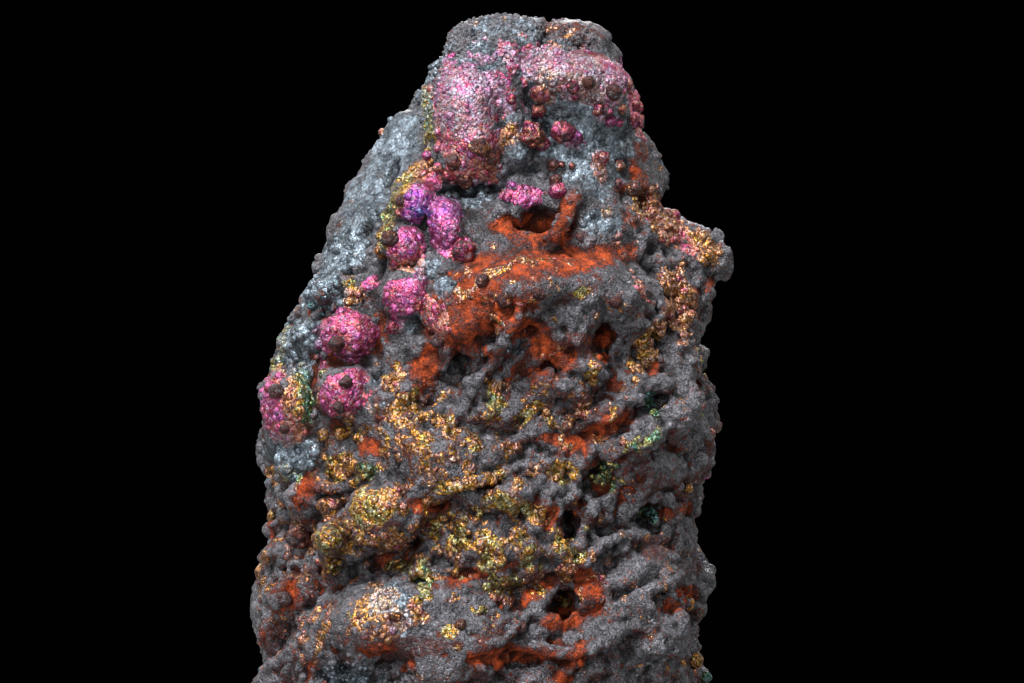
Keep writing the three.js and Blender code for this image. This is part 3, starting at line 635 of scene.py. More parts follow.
REACH = 60.0  # how far in front of the stone the search for its surface starts
EDGE = -4.0  # where the stone's outline lies from front to back, roughly


def on_front(tree, x, z):
    """The point of the front straight behind (x, z) or nearest to it at the stone's edge, and the way out."""
    place, out, _, _ = tree.ray_cast(Vector((x, -REACH, z)) * MM, Vector((0, 1, 0)))
    if place is None:
        place, out, _, _ = tree.find_nearest(Vector((x, EDGE, z)) * MM)
    return place / MM, out


# ---- masks ---------------------------------------------------------------------------------------------


def clumps(points, seed):
    """Noise that breaks patches up into islands of one to three millimetres."""
    return 0.5 * noise(points, 2.2, seed) + 0.4 * noise(points, 1.1, seed + 1)


def edge_wobble(points, seed):
    """Noise that makes the edges of patches wander."""
    sizes = ((0.30, 4.5), (0.26, 2.0), (0.14, 0.9))
    return sum(share * noise(points, size, seed + k) for k, (share, size) in enumerate(sizes))


def cover(points, normals, patches, seed, edge=0.45):
    """Coverage of the front by patches, from 0 to 1. The last value of a patch is its strength."""
    wobble = edge_wobble(points, seed)
    strength = np.zeros(len(points))
    for patch in patches:
        out = across_ellipse(points, *patch[:5]) + wobble
        strength = np.maximum(strength, ramp(out, 1 + edge, 1 - edge) * patch[-1])
    return strength * facing_front(normals)


def film_values(points, normals, hollow):
    """Strength of the iridescent film and its place on the run of colours, from the patches of crust."""
    wobble = edge_wobble(points, 3)
    front = facing_front(normals)
    strength = np.zeros(len(points))
    total = np.full(len(points), 1e-6)
    place = total * 0.5
    for x, z, half_x, half_z, tilt, tint, share in CRUSTS:
        out = across_ellipse(points, x, z, half_x, half_z, tilt) + wobble
        strength = np.maximum(strength, ramp(out, 1.4, 0.6) * share)
        weight = ramp(out, 1.6, 0.3) ** 2 / (half_x * half_z)
        total += weight
        place += weight * tint
    tint = place / total + 0.03 * noise(points, 3.0, 28)
    strength = strength * front
    rear = 1 - front
    bloom = layered(points, 13.0, 21) + 0.35 * layered(points, 4.0, 22)
    rear_tint = np.clip(0.60 + 0.55 * noise(points, 17.0, 25) + 0.12 * noise(points, 5.0, 26), 0.15, 0.95)
    strength = np.maximum(strength, ramp(bloom, 0.12, 0.6) * rear * 0.9)
    tint = tint + (rear_tint - tint) * ramp(rear, 0.3, 0.9)
    broken = ramp(strength + clumps(points, 27) * (1.15 - strength), 0.3, 0.62)
    solid = strength * ramp(strength, 0.0, 0.2)
    return np.clip(broken * (0.45 + 0.6 * solid) * ramp(hollow, 0.95, 0.6), 0, 1), tint


def silver_values(points, normals):
    rear = 1 - facing_front(normals)
    bloom = layered(points, 15.0, 31) + 0.3 * layered(points, 4.0, 32)
    strength = np.maximum(cover(points, normals, SILVERS, 5), ramp(bloom, 0.1, 0.6) * rear * 0.8)
    return np.clip(strength + 0.35 * clumps(points, 33) * ramp(strength, 0, 0.4), 0, 1)


def ochre_values(points, normals, hollow):
    rear = 1 - facing_front(normals)
    bloom = noise(points, 12.0, 41) + 0.4 * noise(points, 4.0, 42)
    strength = np.maximum(cover(points, normals, OCHRES, 7, 0.7), ramp(bloom, 0.25, 0.75) * rear * 0.75)
    sunk = ramp(hollow, 0.25, 0.7)
    seep = ramp(noise(points, 9.0, 44) + 0.5 * noise(points, 3.0, 45), 0.0, 0.45) * ramp(points[:, 2], 70, 60)
    strength = np.maximum(strength, 0.6 * seep * ramp(hollow, 0.5, 0.8) * facing_front(normals))
    return np.clip(strength * (0.65 + 0.6 * sunk) + 0.25 * clumps(points, 43) * ramp(strength, 0, 0.3), 0, 1)


def maroon_values(points, normals, hollow):
    # Dark red is also laid on faces that look downward below the head, and in hollows.
    under = ramp(normals[:, 2], 0.15, -0.5) * ramp(points[:, 2], 66, 50)
    bloom = ramp(noise(points, 5.0, 51) + 0.8 * under + 0.5 * (hollow - 0.5), 0.3, 0.9)
    return np.clip(np.maximum(cover(points, normals, MAROONS, 9), 0.7 * bloom), 0, 1)


# ---- the stone -----------------------------------------------------------------------------------------

FOLD_TILT = math.radians(24)


def folded(points, size, seed):
    """Rounded ridges that climb to the right, with sharp valleys between them."""
    bend = 0.35 * size * np.stack([noise(points, 1.6 * size, seed + 20 + k) for k in range(3)], axis=1)
    spots = points + bend
    along = spots[:, 0] * math.cos(FOLD_TILT) + spots[:, 2] * math.sin(FOLD_TILT)
    across = spots[:, 2] * math.cos(FOLD_TILT) - spots[:, 0] * math.sin(FOLD_TILT)
    return np.abs(noise(np.stack([along / 2.4, spots[:, 1] / 1.5, across], axis=1), size, seed))


def rough_share(points):
    """Where the stone is warty and folded rather than smooth: its lower half, its right and its back."""
    x, y, z = points.T
    front = ramp(y, 4, -4)
    low = ramp(z + 0.25 * x, 66, 56)
    left = ramp(x, -6, -12) * ramp(z, 34, 42) * front
    right = ramp(x, 13, 19) * ramp(z, 84, 76)
    return np.clip(np.maximum(low - 0.7 * left, right) + 0.6 * (1 - front), 0.15, 1)


def lobe_share(points, normals):
    """1 on the smooth lobes, easing to 0 around them."""
    wobble = 0.2 * noise(points, 2.2, 14)
    share = np.zeros(len(points))
    for *ellipse, _ in LOBES:
        share = np.maximum(share, ramp(across_ellipse(points, *ellipse) + wobble, 1.15, 0.75))
    return share * facing_front(normals)


# Heights of the broad relief's parts, in millimetres.
RIDGES = 3.3
LUMPS = 1.4
KNOBS = 1.4
CREASES = 1.5
PITS = 2.2
SWELL = 0.5


def broad_relief(points, smooth):
    """How far the surface moves before the ropes are joined to it, less where it is smooth."""
    rough = rough_share(points)
    ridges = folded(points, 6.2, 1) - 0.40
    lumps = packed(warped(points, 3.0, 0.35, 5), 3.6, 5) - 0.5
    knobs = (packed(warped(points, 1.6, 0.3, 8), 1.8, 8) - 0.45) * ramp(noise(points, 6.0, 9), -0.4, 0.2)
    creases = 0.3 - np.abs(noise(warped(points, 3.0, 0.3, 15), 3.4, 16))
    pits = ramp(domes(points, 4.2, 10, 0.10, 0.30), 0.2, 0.6) * ramp(noise(points, 11.0, 12), -0.1, 0.2)
    bumps = RIDGES * ridges + LUMPS * lumps + KNOBS * knobs - CREASES * creases - PITS * pits + 0.35
    return rough * bumps * (1 - 0.65 * smooth) + SWELL * noise(points, 7.0, 2)


# How far the surface steps back near the box, in millimetres, to make room for its bumps.
ROOM_FOR_FOLDS = 0.6
ROOM_FOR_GRAIN = 0.1


def kept_inside(points, normals, out, back):
    """Eases what would stand outside the box back into it, so that its bumps keep their shape.

    Close to the box the surface first steps back by up to this many millimetres, to make room for its bumps.
    """
    low, high = (np.array(corner) / MM for corner in CAD_BOX)
    room = np.full(len(points), 99.0)
    for axis in range(3):
        toward = normals[:, axis]
        ahead = np.where(toward > 0, high[axis] - points[:, axis], points[:, axis] - low[axis])
        room = np.minimum(room, ahead / np.maximum(np.abs(toward), 0.05))
    on_base = ramp(points[:, 2], 1.5, 0.5)
    out = out - back * ramp(room, 1.5 * back + 0.01, 0.0) * (1 - on_base)
    room = np.maximum(room - INSET, 0.05)
    return np.where(out > 0, room * (1 - np.exp(-out / room)), out)


def front_forms(points, normals):
    """Lobes, hollows, the cleft and the trims, as a way out along the surface's normal."""
    front = facing_front(normals)
    wobble = 0.14 * noise(points, 1.4, 6)
    ragged = wobble + 0.45 * noise(points, 2.2, 7)
    height = np.zeros(len(points))
    for *ellipse, rise in LOBES:
        out = across_ellipse(points, *ellipse) + wobble
        dome = 0.6 * np.sqrt(np.clip(1 - out**2, 0, 1)) + 0.4 * ramp(out, 1.35, 0.1)
        height = np.maximum(height, LOBE_HEIGHT * rise * dome)
    for *ellipse, depth in HOLLOWS:
        out = across_ellipse(points, *ellipse) + ragged
        height -= HOLLOW_DEPTH * depth * ramp(out, 1.15, 0.35)
    far, width = near_path(points, CLEFT)
    height += CLEFT_FILL * ramp(far / np.maximum(width, 0.1) + wobble, 2.6, 1.3)
    height *= front
    for *ellipse, depth in TRIMS:
        height -= depth * ramp(across_ellipse(points, *ellipse) + wobble, 1.3, 0.6)
    return height


def fine_relief(points, film, silver):
    """Warts and grain, in rounder beads where a crust grows."""
    rough = rough_share(points)
    crust = np.clip(film + silver, 0, 1)
    warts = 0.55 * packed(warped(points, 1.2, 0.3, 61), 1.35, 61) + 0.50 * np.abs(noise(points, 1.7, 64))
    warts = warts - 0.32
    beads = 0.30 * packed(points, 0.95, 66)
    grain = 0.10 * noise(points, 0.8, 67)
    return (1 - crust) * (0.35 + 0.65 * rough) * warts + crust * (beads + 0.1) + grain


class GoethiteStone(bpy.types.PropertyGroup):
    first_grid: bpy.props.FloatProperty(
        name="Shaping grid",
        description="Grid that the broad forms are shaped on",
        default=0.55 * MM,
        unit="LENGTH",
    )
    grid: bpy.props.FloatProperty(
        name="Finished grid",
        description="Grid of the finished surface",
        default=0.29 * MM,
        unit="LENGTH",
    )
    triangles: bpy.props.IntProperty(
        name="Triangles",
        description="Most triangles in the finished stone",
        default=196000,
        min=1000,
    )
    relief: bpy.props.FloatProperty(
        name="Relief",
        description="Share of the folds' and lumps' height",
        default=1.0,
        subtype="FACTOR",
    )


SPARED = 1.22  # triangles left for the back alone to lose, as a share of the finished number


def thinned(obj, triangles):
    """Thins a mesh of squares to this many triangles, the back somewhat more than the front."""
    share = SPARED * triangles / (2 * len(obj.data.polygons))
    modified(obj, "DECIMATE", ratio=min(1.0, share), use_collapse_triangulate=True)
    rear = facing_front(normals_of(obj.data)) < 0.3
    obj.vertex_groups.new(name="rear").add(np.flatnonzero(rear).tolist(), 1.0, "REPLACE")
    share = triangles / len(obj.data.polygons)
    modified(obj, "DECIMATE", ratio=min(1.0, share), vertex_group="rear", use_collapse_triangulate=True)
    obj.vertex_groups.clear()


def rope(tree, radius, route):
    """A knotty rope along a route on the front, with closed ends."""
    bpy.ops.curve.primitive_bezier_curve_add()
    obj = bpy.context.object
    spline = obj.data.splines[0]
    spline.bezier_points.add(len(route) - 2)
    for point, (x, z, lift) in zip(spline.bezier_points, route):
        place, out = on_front(tree, x, z)
        point.co = (place + out * lift) * MM
        point.handle_left_type = point.handle_right_type = "AUTO"
    obj.matrix_world.identity()
    obj.data.bevel_depth = radius * MM
    obj.data.bevel_resolution = 3
    obj.data.use_fill_caps = True
    bpy.ops.object.convert(target="MESH")
    return bpy.context.object


def merged_copy(node):
    """A copy of the solid's mesh, as the piece named stone, with its corners joined."""
    stone = node.copy()
    stone.data = node.data.copy()
    stone.name = stone.data.name = "stone"
    bpy.context.scene.collection.objects.link(stone)
    only(stone)
    bpy.ops.object.mode_set(mode="EDIT")
    bpy.ops.mesh.select_all(action="SELECT")
    bpy.ops.mesh.remove_doubles(threshold=0.01 * MM)
    bpy.ops.object.mode_set(mode="OBJECT")
    return stone


def shape_broadly(stone, relief):
    """Gives the stone its folds, lobes and hollows."""
    mesh = stone.data
    points, normals = points_of(mesh), normals_of(mesh)
    out = relief * broad_relief(points, lobe_share(points, normals)) + front_forms(points, normals)
    out = kept_inside(points, normals, out, ROOM_FOR_FOLDS)
    move_points(mesh, points + normals * out[:, None])


def join_ropes(stone):
    tree = tree_of(stone)
    ropes = [rope(tree, *line) for line in ROPES]
    only(stone)
    for piece in ropes:
        piece.select_set(True)
    bpy.ops.object.join()


def shape_finely(stone):
    """Gives the stone its warts and grain."""
    mesh = stone.data
    points, normals = points_of(mesh), normals_of(mesh)
    film, _ = film_values(points, normals, hollowness(mesh, points, normals, HOLLOW_REACH))
    grain = fine_relief(points, film, silver_values(points, normals))
    out = kept_inside(points, normals, grain * (1 - 0.5 * lobe_share(points, normals)), ROOM_FOR_GRAIN)
    move_points(mesh, fitted(points + normals * out[:, None]))


def keep_stone_values(mesh):
    """Keeps on the mesh what its finish and its crusts go by."""
    points, normals = points_of(mesh), normals_of(mesh)
    hollow = hollowness(mesh, points, normals, HOLLOW_REACH)
    crease = hollowness(mesh, points, normals, CREASE_REACH)
    film, tint = film_values(points, normals, hollow)
    keep_values(
        mesh,
        film=film,
        tint=tint,
        silver=silver_values(points, normals),
        ochre=ochre_values(points, normals, hollow),
        maroon=maroon_values(points, normals, hollow),
        # The finish paints shade in hollows and creases and a paler highlight on crests from this value.
        hollow=np.clip(0.5 * hollow + 0.5 * crease, 0, 1),
    )


class OBJECT_OT_goethite_stone(bpy.types.Operator):
    """Make the stone: its folds, knobs, hollows, ropes and warts"""

    bl_idname = "object.goethite_stone"
    bl_label = "Stone"

    def execute(self, context):
        settings = context.scene.goethite_stone
        stone = merged_copy(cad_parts[NODE])
        modified(stone, "REMESH", mode="VOXEL", voxel_size=settings.first_grid)
        modified(stone, "SMOOTH", factor=0.5, iterations=16)
        shape_broadly(stone, settings.relief)
        join_ropes(stone)
        modified(stone, "REMESH", mode="VOXEL", voxel_size=settings.grid)
        modified(stone, "SMOOTH", factor=0.4, iterations=2)
        shape_finely(stone)
        thinned(stone, settings.triangles)
        move_points(stone.data, fitted(points_of(stone.data)))
        keep_stone_values(stone.data)
        finish_piece(stone)
        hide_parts(NODE)
        return {"FINISHED"}


# Rounds of smoothing that bring out the wide hollows and the narrow creases.
HOLLOW_REACH = 12
CREASE_REACH = 3


def hollowness(mesh, points, normals, reach):
    """0 on crests, a half where it is flat and 1 in creases, from how far smoothing would lift each point."""
    edges = read(mesh.edges, "vertices", 2).astype(np.int64)
    ends = np.concatenate([edges[:, 0], edges[:, 1]])
    others = np.concatenate([edges[:, 1], edges[:, 0]])
    count = np.bincount(ends, minlength=len(points))[:, None]
    smooth = points
    for _ in range(reach):
        total = [np.bincount(ends, weights=smooth[others, k], minlength=len(points)) for k in range(3)]
        smooth = np.stack(total, axis=1) / np.maximum(count, 1)
    lift = np.einsum("ij,ij->i", smooth - points, normals)
    return np.clip(0.5 + 0.5 * lift / (2.2 * np.std(lift)), 0, 1)


def fitted(points):
    """Holds back what still stands outside the box, and keeps the base flat."""
    low, high = (np.array(corner) / MM for corner in CAD_BOX)
    return np.clip(points, low + (INSET, INSET, 0), high - INSET)


def finish_piece(obj):
    only(obj)
    bpy.ops.object.shade_smooth()
    obj.data.materials.clear()
    obj.data.materials.append(bpy.data.materials[MATERIAL])
    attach(obj, "root")


# ---- nodules and spherules -----------------------------------------------------------------------------


def ball(rounds):
    """Points and triangles of a ball of radius 1, modelled once and copied for every bead."""
    bpy.ops.object.select_all(action="DESELECT")
    bpy.ops.mesh.primitive_ico_sphere_add(subdivisions=rounds, radius=1)
    made = bpy.context.object
    points = read(made.data.vertices, "co", 3)
    faces = read(made.data.polygons, "vertices", 3).astype(np.int64)
    bpy.data.objects.remove(made)
    return points, faces


def copies(name, shape, places, outs, sizes, values, lumps, rng):
    """One mesh of many lumpy beads. Sizes are each bead's half widths along two sides and outwards."""
    points, faces = shape
    count = len(places)
    side = np.cross(outs, rng.normal(size=(count, 3)))
    side /= np.linalg.norm(side, axis=1)[:, None]
    axes = np.stack([side, np.cross(outs, side), outs], axis=1)
    spread = np.einsum("nk,bk,bkc->bnc", points, sizes, axes)
    around = places[:, None] + spread
    flat = around.reshape(-1, 3)
    swell = 1 + lumps * noise(flat, float(sizes.mean()) * 1.1, 71)
    flat = (places[:, None] + spread * swell.reshape(count, -1, 1)).reshape(-1, 3)
    every = (faces[None] + (np.arange(count) * len(points))[:, None, None]).reshape(-1, 3)
    made = mesh_from(name, fitted(flat), every)
    keep_values(made.data, **{key: np.repeat(numbers, len(points)) for key, numbers in values.items()})
    finish_piece(made)
    return made


VALUES = ("film", "tint", "silver", "ochre", "maroon", "hollow")


class Skin:
    """The stone's surface as numbers, for pieces that grow on it."""

    def __init__(self):
        mesh = bpy.data.objects["stone"].data
        mesh.calc_loop_triangles()
        self.points = points_of(mesh)
        self.normals = normals_of(mesh)
        self.corners = read(mesh.loop_triangles, "vertices", 3).astype(np.int64)
        self.areas = read(mesh.loop_triangles, "area", 1) / MM**2
        self.values = {name: read(mesh.attributes[name].data, "value", 1) for name in VALUES}

    def scatter(self, weight, tries, least, most, gap, rng):
        """Picks places by weight that keep clear of each other, as vertex numbers, places and radii."""
        chance = self.areas * weight[self.corners].mean(axis=1)
        picks = rng.choice(len(chance), size=tries, p=chance / chance.sum())
        share = rng.dirichlet((1, 1, 1), tries)
        corners = self.corners[picks]
        places = np.einsum("nk,nkc->nc", share, self.points[corners])
        radii = least + (most - least) * rng.beta(1.3, 2.2, tries)
        order = np.argsort(-radii)
        near = corners[np.arange(tries), share.argmax(axis=1)]
        kept = self.spaced(places, radii, gap, order, 2 * most * gap)
        return near[kept], places[kept], radii[kept]

    @staticmethod
    def spaced(places, radii, gap, order, cell):
        """Goes through the places in order and keeps each that is clear of those kept before it."""
        steps = [(a, b, c) for a in (-1, 0, 1) for b in (-1, 0, 1) for c in (-1, 0, 1)]
        taken = {}
        kept = []
        for n in order:
            x, y, z = places[n]
            i, j, k = int(x // cell), int(y // cell), int(z // cell)
            reach = radii[n]
            crowd = (taken.get((i + a, j + b, k + c), ()) for a, b, c in steps)
            if any(math.dist((x, y, z), spot) < gap * (reach + far) for near in crowd for spot, far in near):
                continue
            taken.setdefault((i, j, k), []).append(((x, y, z), reach))
            kept.append(n)
        return np.array(kept)


# Crusts of beads, in the order in which they grow: tries, least and largest radius in millimetres, gap, sink,
# height and lumps. Gap is how close two beads come as a share of their radii together, sink how deep a bead
# sits as a share of its radius, and lumps how uneven it is.
GRAINS = {
    "magenta_spherules": (2600, 0.26, 0.70, 0.95, 0.45, 0.80, 0.20),
    "gold_druse": (5000, 0.25, 0.72, 0.90, 0.40, 0.85, 0.25),
    "silver_grains": (7000, 0.20, 0.50, 0.80, 0.50, 1.20, 0.40),
    "silver_botryoids": (2500, 0.40, 1.00, 0.80, 0.35, 0.90, 0.15),
    "grey_warts": (2000, 0.25, 0.85, 1.00, 0.65, 0.90, 0.35),
}
MOST_BEADS = 2400  # of 80 triangles each


def grain_weights(skin):
    """How thickly each crust of beads grows at each point of the stone."""
    points, normals = skin.points, skin.normals
    film, tint, silver, hollow = (skin.values[name] for name in ("film", "tint", "silver", "hollow"))
    rear = 1 - facing_front(normals)
    crest = ramp(hollow, 0.85, 0.45) * ramp(points[:, 2], 0.5, 1.2)
    under = ramp(normals[:, 2], 0.2, -0.4)
    knobbly = np.clip(under + ramp(noise(points, 4.0, 81), 0.25, 0.5), 0, 1)
    clustered = 0.06 + ramp(noise(points, 2.6, 86), 0.05, 0.3)
    on_silver = rear * ramp(silver, 0.5, 0.8)
    in_patches = rear * ramp(noise(points, 14.0, 85), 0.25, 0.4)
    bare = ramp(film + silver, 0.6, 0.1) * rough_share(points) * ramp(noise(points, 5.0, 82), -0.1, 0.5)
    return {
        "magenta_spherules": ramp(film, 0.45, 0.8) * ramp(tint, 0.60, 0.68) * knobbly * crest,
        "gold_druse": ramp(film, 0.35, 0.6) * ramp(tint, 0.70, 0.62) * clustered * crest,
        "silver_grains": np.maximum(cover(points, normals, SILVER_GRAINS, 83), on_silver) * crest,
        "silver_botryoids": np.maximum(cover(points, normals, SILVER_BOTRYOIDS, 84), in_patches),
        "grey_warts": bare * crest,
    }


def spherules(name, skin, weight, seed, size):
    """A crust of beads that stand on the stone where the weight is high."""
    tries, least, most, gap, sink, tall, lumps = GRAINS[name]
    rng = np.random.default_rng(seed)
    found = skin.scatter(weight, tries, least * size, most * size, gap, rng)
    near, places, radii = (part[:MOST_BEADS] for part in found)
    count = len(near)
    outs = skin.normals[near]
    sizes = radii[:, None] * (1 + 0.2 * rng.uniform(-1, 1, (count, 3))) * (1, 1, tall)
    places = places - outs * (sink * radii)[:, None]
    values = {key: numbers[near] for key, numbers in skin.values.items()}
    values["grain"] = rng.uniform(0, 1, count)
    # Half the stone's hollowness, so that beads take less painted shade and more painted highlight than the
    # stone under them.
    values["hollow"] *= 0.5
    return copies(name, ball(2), places, outs, sizes, values, lumps, rng)


class GoethiteCrusts(bpy.types.PropertyGroup):
    size: bpy.props.FloatProperty(
        name="Size",
        description="Size of all the grains, as a share of their usual size",
        default=1.0,
        min=0.5,
        max=1.5,
        subtype="FACTOR",
    )
    seed: bpy.props.IntProperty(
        name="Seed",
        description="Start of the random choices",
        default=5,
        min=1,
    )


NODULE_LUMPS = 0.26  # how uneven a nodule is, as a share of its radius
NODULE_RISE = 0.1  # how far a nodule's middle stands out, as a share of its radius


class OBJECT_OT_goethite_nodules(bpy.types.Operator):
    """Add the single round nodules that stand on the folds and lobes"""

    bl_idname = "object.goethite_nodules"
    bl_label = "Nodules"

    def execute(self, context):
        rng = np.random.default_rng(context.scene.goethite_crusts.seed)
        tree = tree_of(bpy.data.objects["stone"])
        places, outs = [], []
        for x, z, radius, _, _ in BALLS:
            place, out = on_front(tree, x, z)
            toward = (out + Vector((0, -1, 0))).normalized()
            places.append(place + toward * radius * NODULE_RISE)
            outs.append(toward)
        places, outs = np.array(places), np.array(outs)
        table = np.array(BALLS)
        sizes = table[:, 2:3] * (1 + 0.08 * rng.uniform(-1, 1, (len(table), 3)))
        values = {name: np.zeros(len(table)) for name in VALUES}
        values["tint"], values["film"] = table[:, 3], table[:, 4]
        values["maroon"] += 0.8
        # This hollowness gives each nodule some painted shade all over and no painted highlight on its crest.
        values["hollow"] += 0.6
        values["grain"] = rng.uniform(0, 1, len(table))
        copies("nodules", ball(4), places, outs, sizes, values, NODULE_LUMPS, rng)
        return {"FINISHED"}


class OBJECT_OT_goethite_crusts(bpy.types.Operator):
    """Grow the crusts of small spherules: magenta, gold, green and silver, and the stone's own warts"""

    bl_idname = "object.goethite_crusts"
    bl_label = "Crusts of spherules"

    def execute(self, context):
        settings = context.scene.goethite_crusts
        skin = Skin()
        weights = grain_weights(skin)
        for number, name in enumerate(GRAINS):
            spherules(name, skin, weights[name], settings.seed + number, settings.size)
        return {"FINISHED"}


# ---- finishes ------------------------------------------------------------------------------------------


def colour_setting(name, description, default):
    return bpy.props.FloatVectorProperty(name=name, description=description, default=default, subtype="COLOR")


class GoethiteFinish(bpy.types.PropertyGroup):
    stone: colour_setting("Bare stone", "Colour of bare goethite", (0.087, 0.085, 0.096))
    maroon: colour_setting("Maroon bloom", "Colour of the dark red bloom", (0.060, 0.013, 0.010))
    ochre: colour_setting("Ochre", "Colour of the powdery ochre", (0.42, 0.063, 0.013))
    silver: colour_setting("Silver", "Colour of the silvery crust", (0.27, 0.33, 0.39))
    film: bpy.props.FloatProperty(
        name="Film",
        description="Strength of the iridescent film",
        default=1.0,
        min=0,
        max=1.5,
        subtype="FACTOR",
    )


# The film's colours in the order in which it thickens: place on the run, then the colour.
FILM_COLOURS = [
    (0.00, (0.26, 0.32, 0.38)),
    (0.10, (0.12, 0.28, 0.31)),
    (0.20, (0.12, 0.29, 0.15)),
    (0.28, (0.28, 0.28, 0.09)),
    (0.34, (0.60, 0.50, 0.22)),
    (0.39, (0.28, 0.19, 0.03)),
    (0.43, (0.56, 0.32, 0.07)),
    (0.48, (0.60, 0.23, 0.03)),
    (0.53, (0.74, 0.40, 0.20)),
    (0.58, (0.44, 0.15, 0.05)),
    (0.63, (0.64, 0.30, 0.20)),
    (0.69, (0.58, 0.17, 0.14)),
    (0.75, (0.52, 0.08, 0.17)),
    (0.84, (0.60, 0.14, 0.38)),
    (0.92, (0.30, 0.07, 0.38)),
    (1.00, (0.09, 0.10, 0.36)),
]


class Graph:
    """Adds nodes to a tree and joins them. Every call gives back the new node's first useful output."""

    def __init__(self, tree):
        self.tree = tree
        self.spot = None

    def node(self, kind, inputs=None, **settings):
        made = self.tree.nodes.new(kind)
        for name, value in settings.items():
            setattr(made, name, value)
        for name, value in (inputs or {}).items():
            self.put(made.inputs[name], value)
        return made

    def put(self, socket, value):
        if isinstance(value, bpy.types.NodeSocket):
            self.tree.links.new(value, socket)
        else:
            socket.default_value = value

    def math(self, operation, a, b):
        return self.node("ShaderNodeMath", {0: a, 1: b}, operation=operation).outputs[0]

    def times(self, a, b):
        return self.math("MULTIPLY", a, b)

    def spread(self, value, low, high):
        """0 up to low and 1 from high on."""
        made = self.node("ShaderNodeMapRange", {"Value": value, "From Min": low, "From Max": high})
        made.interpolation_type = "SMOOTHSTEP"
        return made.outputs["Result"]

    def mix(self, share, a, b):
        made = self.node("ShaderNodeMix", data_type="RGBA")
        self.put(made.inputs[0], share)
        self.put(made.inputs[6], a)
        self.put(made.inputs[7], b)
        return made.outputs[2]

    def blend(self, share, a, b):
        made = self.node("ShaderNodeMix", data_type="FLOAT")
        self.put(made.inputs[0], share)
        self.put(made.inputs[2], a)
        self.put(made.inputs[3], b)
        return made.outputs[0]

    def value(self, name):
        return self.node("ShaderNodeAttribute", attribute_name=name).outputs["Fac"]

    def place(self):
        """Object coordinates in millimetres."""
        if self.spot is None:
            metres = self.node("ShaderNodeTexCoord").outputs["Object"]
            larger = self.node("ShaderNodeVectorMath", {0: metres, "Scale": 1 / MM}, operation="SCALE")
            self.spot = larger.outputs["Vector"]
        return self.spot

    def noise(self, size, detail=2.0, roughness=0.5):
        """Noise from 0 to 1 whose features are about size millimetres wide."""
        inputs = {"Vector": self.place(), "Scale": 1 / size, "Detail": detail, "Roughness": roughness}
        return self.node("ShaderNodeTexNoise", inputs).outputs["Fac"]

    def noise_colour(self, size):
        return self.node("ShaderNodeTexNoise", {"Vector": self.place(), "Scale": 1 / size}).outputs["Color"]


def group(name, inputs, outputs):
    """A new node group, its graph, and its input and output nodes."""
    tree = bpy.data.node_groups.new(name, "ShaderNodeTree")
    for label, kind, default in inputs:
        tree.interface.new_socket(label, in_out="INPUT", socket_type=kind).default_value = default
    for label, kind in outputs:
        tree.interface.new_socket(label, in_out="OUTPUT", socket_type=kind)
    graph = Graph(tree)
    return graph, tree.nodes.new("NodeGroupInput").outputs, tree.nodes.new("NodeGroupOutput").inputs


def film_group():
    """Colour of the iridescent film at a place on its run of colours. Calm is how much it varies."""
    graph, given, out = group(
        "iridescent film",
        [(name, "NodeSocketFloat", 0.5) for name in ("Tint", "Own", "Bead", "Rim", "Calm")],
        [("Color", "NodeSocketColor")],
    )
    place = given["Tint"]
    # What shifts the place, the value at which it does not, and how far it does.
    for value, middle, share in (
        (graph.noise(1.8, 2.0), 0.5, 0.30),
        (graph.noise(0.45, 1.0), 0.5, 0.20),
        (given["Own"], 0.5, 0.12),
        (given["Bead"], 0.5, 0.08),
        (given["Rim"], 0.25, 0.20),
    ):
        shift = graph.times(graph.math("SUBTRACT", value, middle), share)
        place = graph.math("ADD", place, graph.times(shift, given["Calm"]))
    run = graph.node("ShaderNodeValToRGB", {"Fac": place})
    stops = run.color_ramp.elements
    for element in list(stops)[1:]:
        stops.remove(element)
    stops[0].position, stops[0].color = FILM_COLOURS[0][0], (*FILM_COLOURS[0][1], 1)
    for position, colour in FILM_COLOURS[1:]:
        stops.new(position).color = (*colour, 1)
    graph.put(out["Color"], run.outputs["Color"])
    return graph.tree


def pebble_group():
    """Round bumps pressed together: their height, the creases between them, and two random numbers each."""
    graph, given, out = group(
        "pressed pebbles",
        [("Size", "NodeSocketFloat", 0.4), ("Bend", "NodeSocketFloat", 0.5)],
        [(name, "NodeSocketFloat") for name in ("Height", "Crease", "Random", "Other")],
    )
    ways = graph.noise_colour(0.9)
    bend = graph.node("ShaderNodeVectorMath", {0: ways, "Scale": given["Bend"]}, operation="SCALE")
    inputs = {0: graph.place(), 1: bend.outputs[0]}
    place = graph.node("ShaderNodeVectorMath", inputs, operation="ADD").outputs[0]
    inputs = {"Vector": place, "Scale": graph.math("DIVIDE", 1.0, given["Size"])}
    pebbles = graph.node("ShaderNodeTexVoronoi", inputs)
    edges = graph.node("ShaderNodeTexVoronoi", inputs, feature="DISTANCE_TO_EDGE")
    far = pebbles.outputs["Distance"]
    pair = graph.node("ShaderNodeSeparateColor", {"Color": pebbles.outputs["Color"]})
    graph.put(out["Height"], graph.math("SUBTRACT", 1.0, graph.times(far, far)))
    graph.put(out["Crease"], graph.spread(edges.outputs["Distance"], 0.14, 0.0))
    graph.put(out["Random"], pair.outputs["Red"])
    graph.put(out["Other"], pair.outputs["Green"])
    return graph.tree


def shaded(colour, share):
    """The colour made darker or brighter, as four numbers for a socket."""
    return tuple(min(1.0, share * c) for c in colour) + (1,)


BLACK = (0, 0, 0, 1)

# The three sizes of pebbles in the finish: width and how far they bend, in millimetres, and their height.
PEBBLES = {"warts": (1.05, 0.55, 0.30), "beads": (0.50, 0.30, 0.15), "grit": (0.23, 0.12, 0.085)}

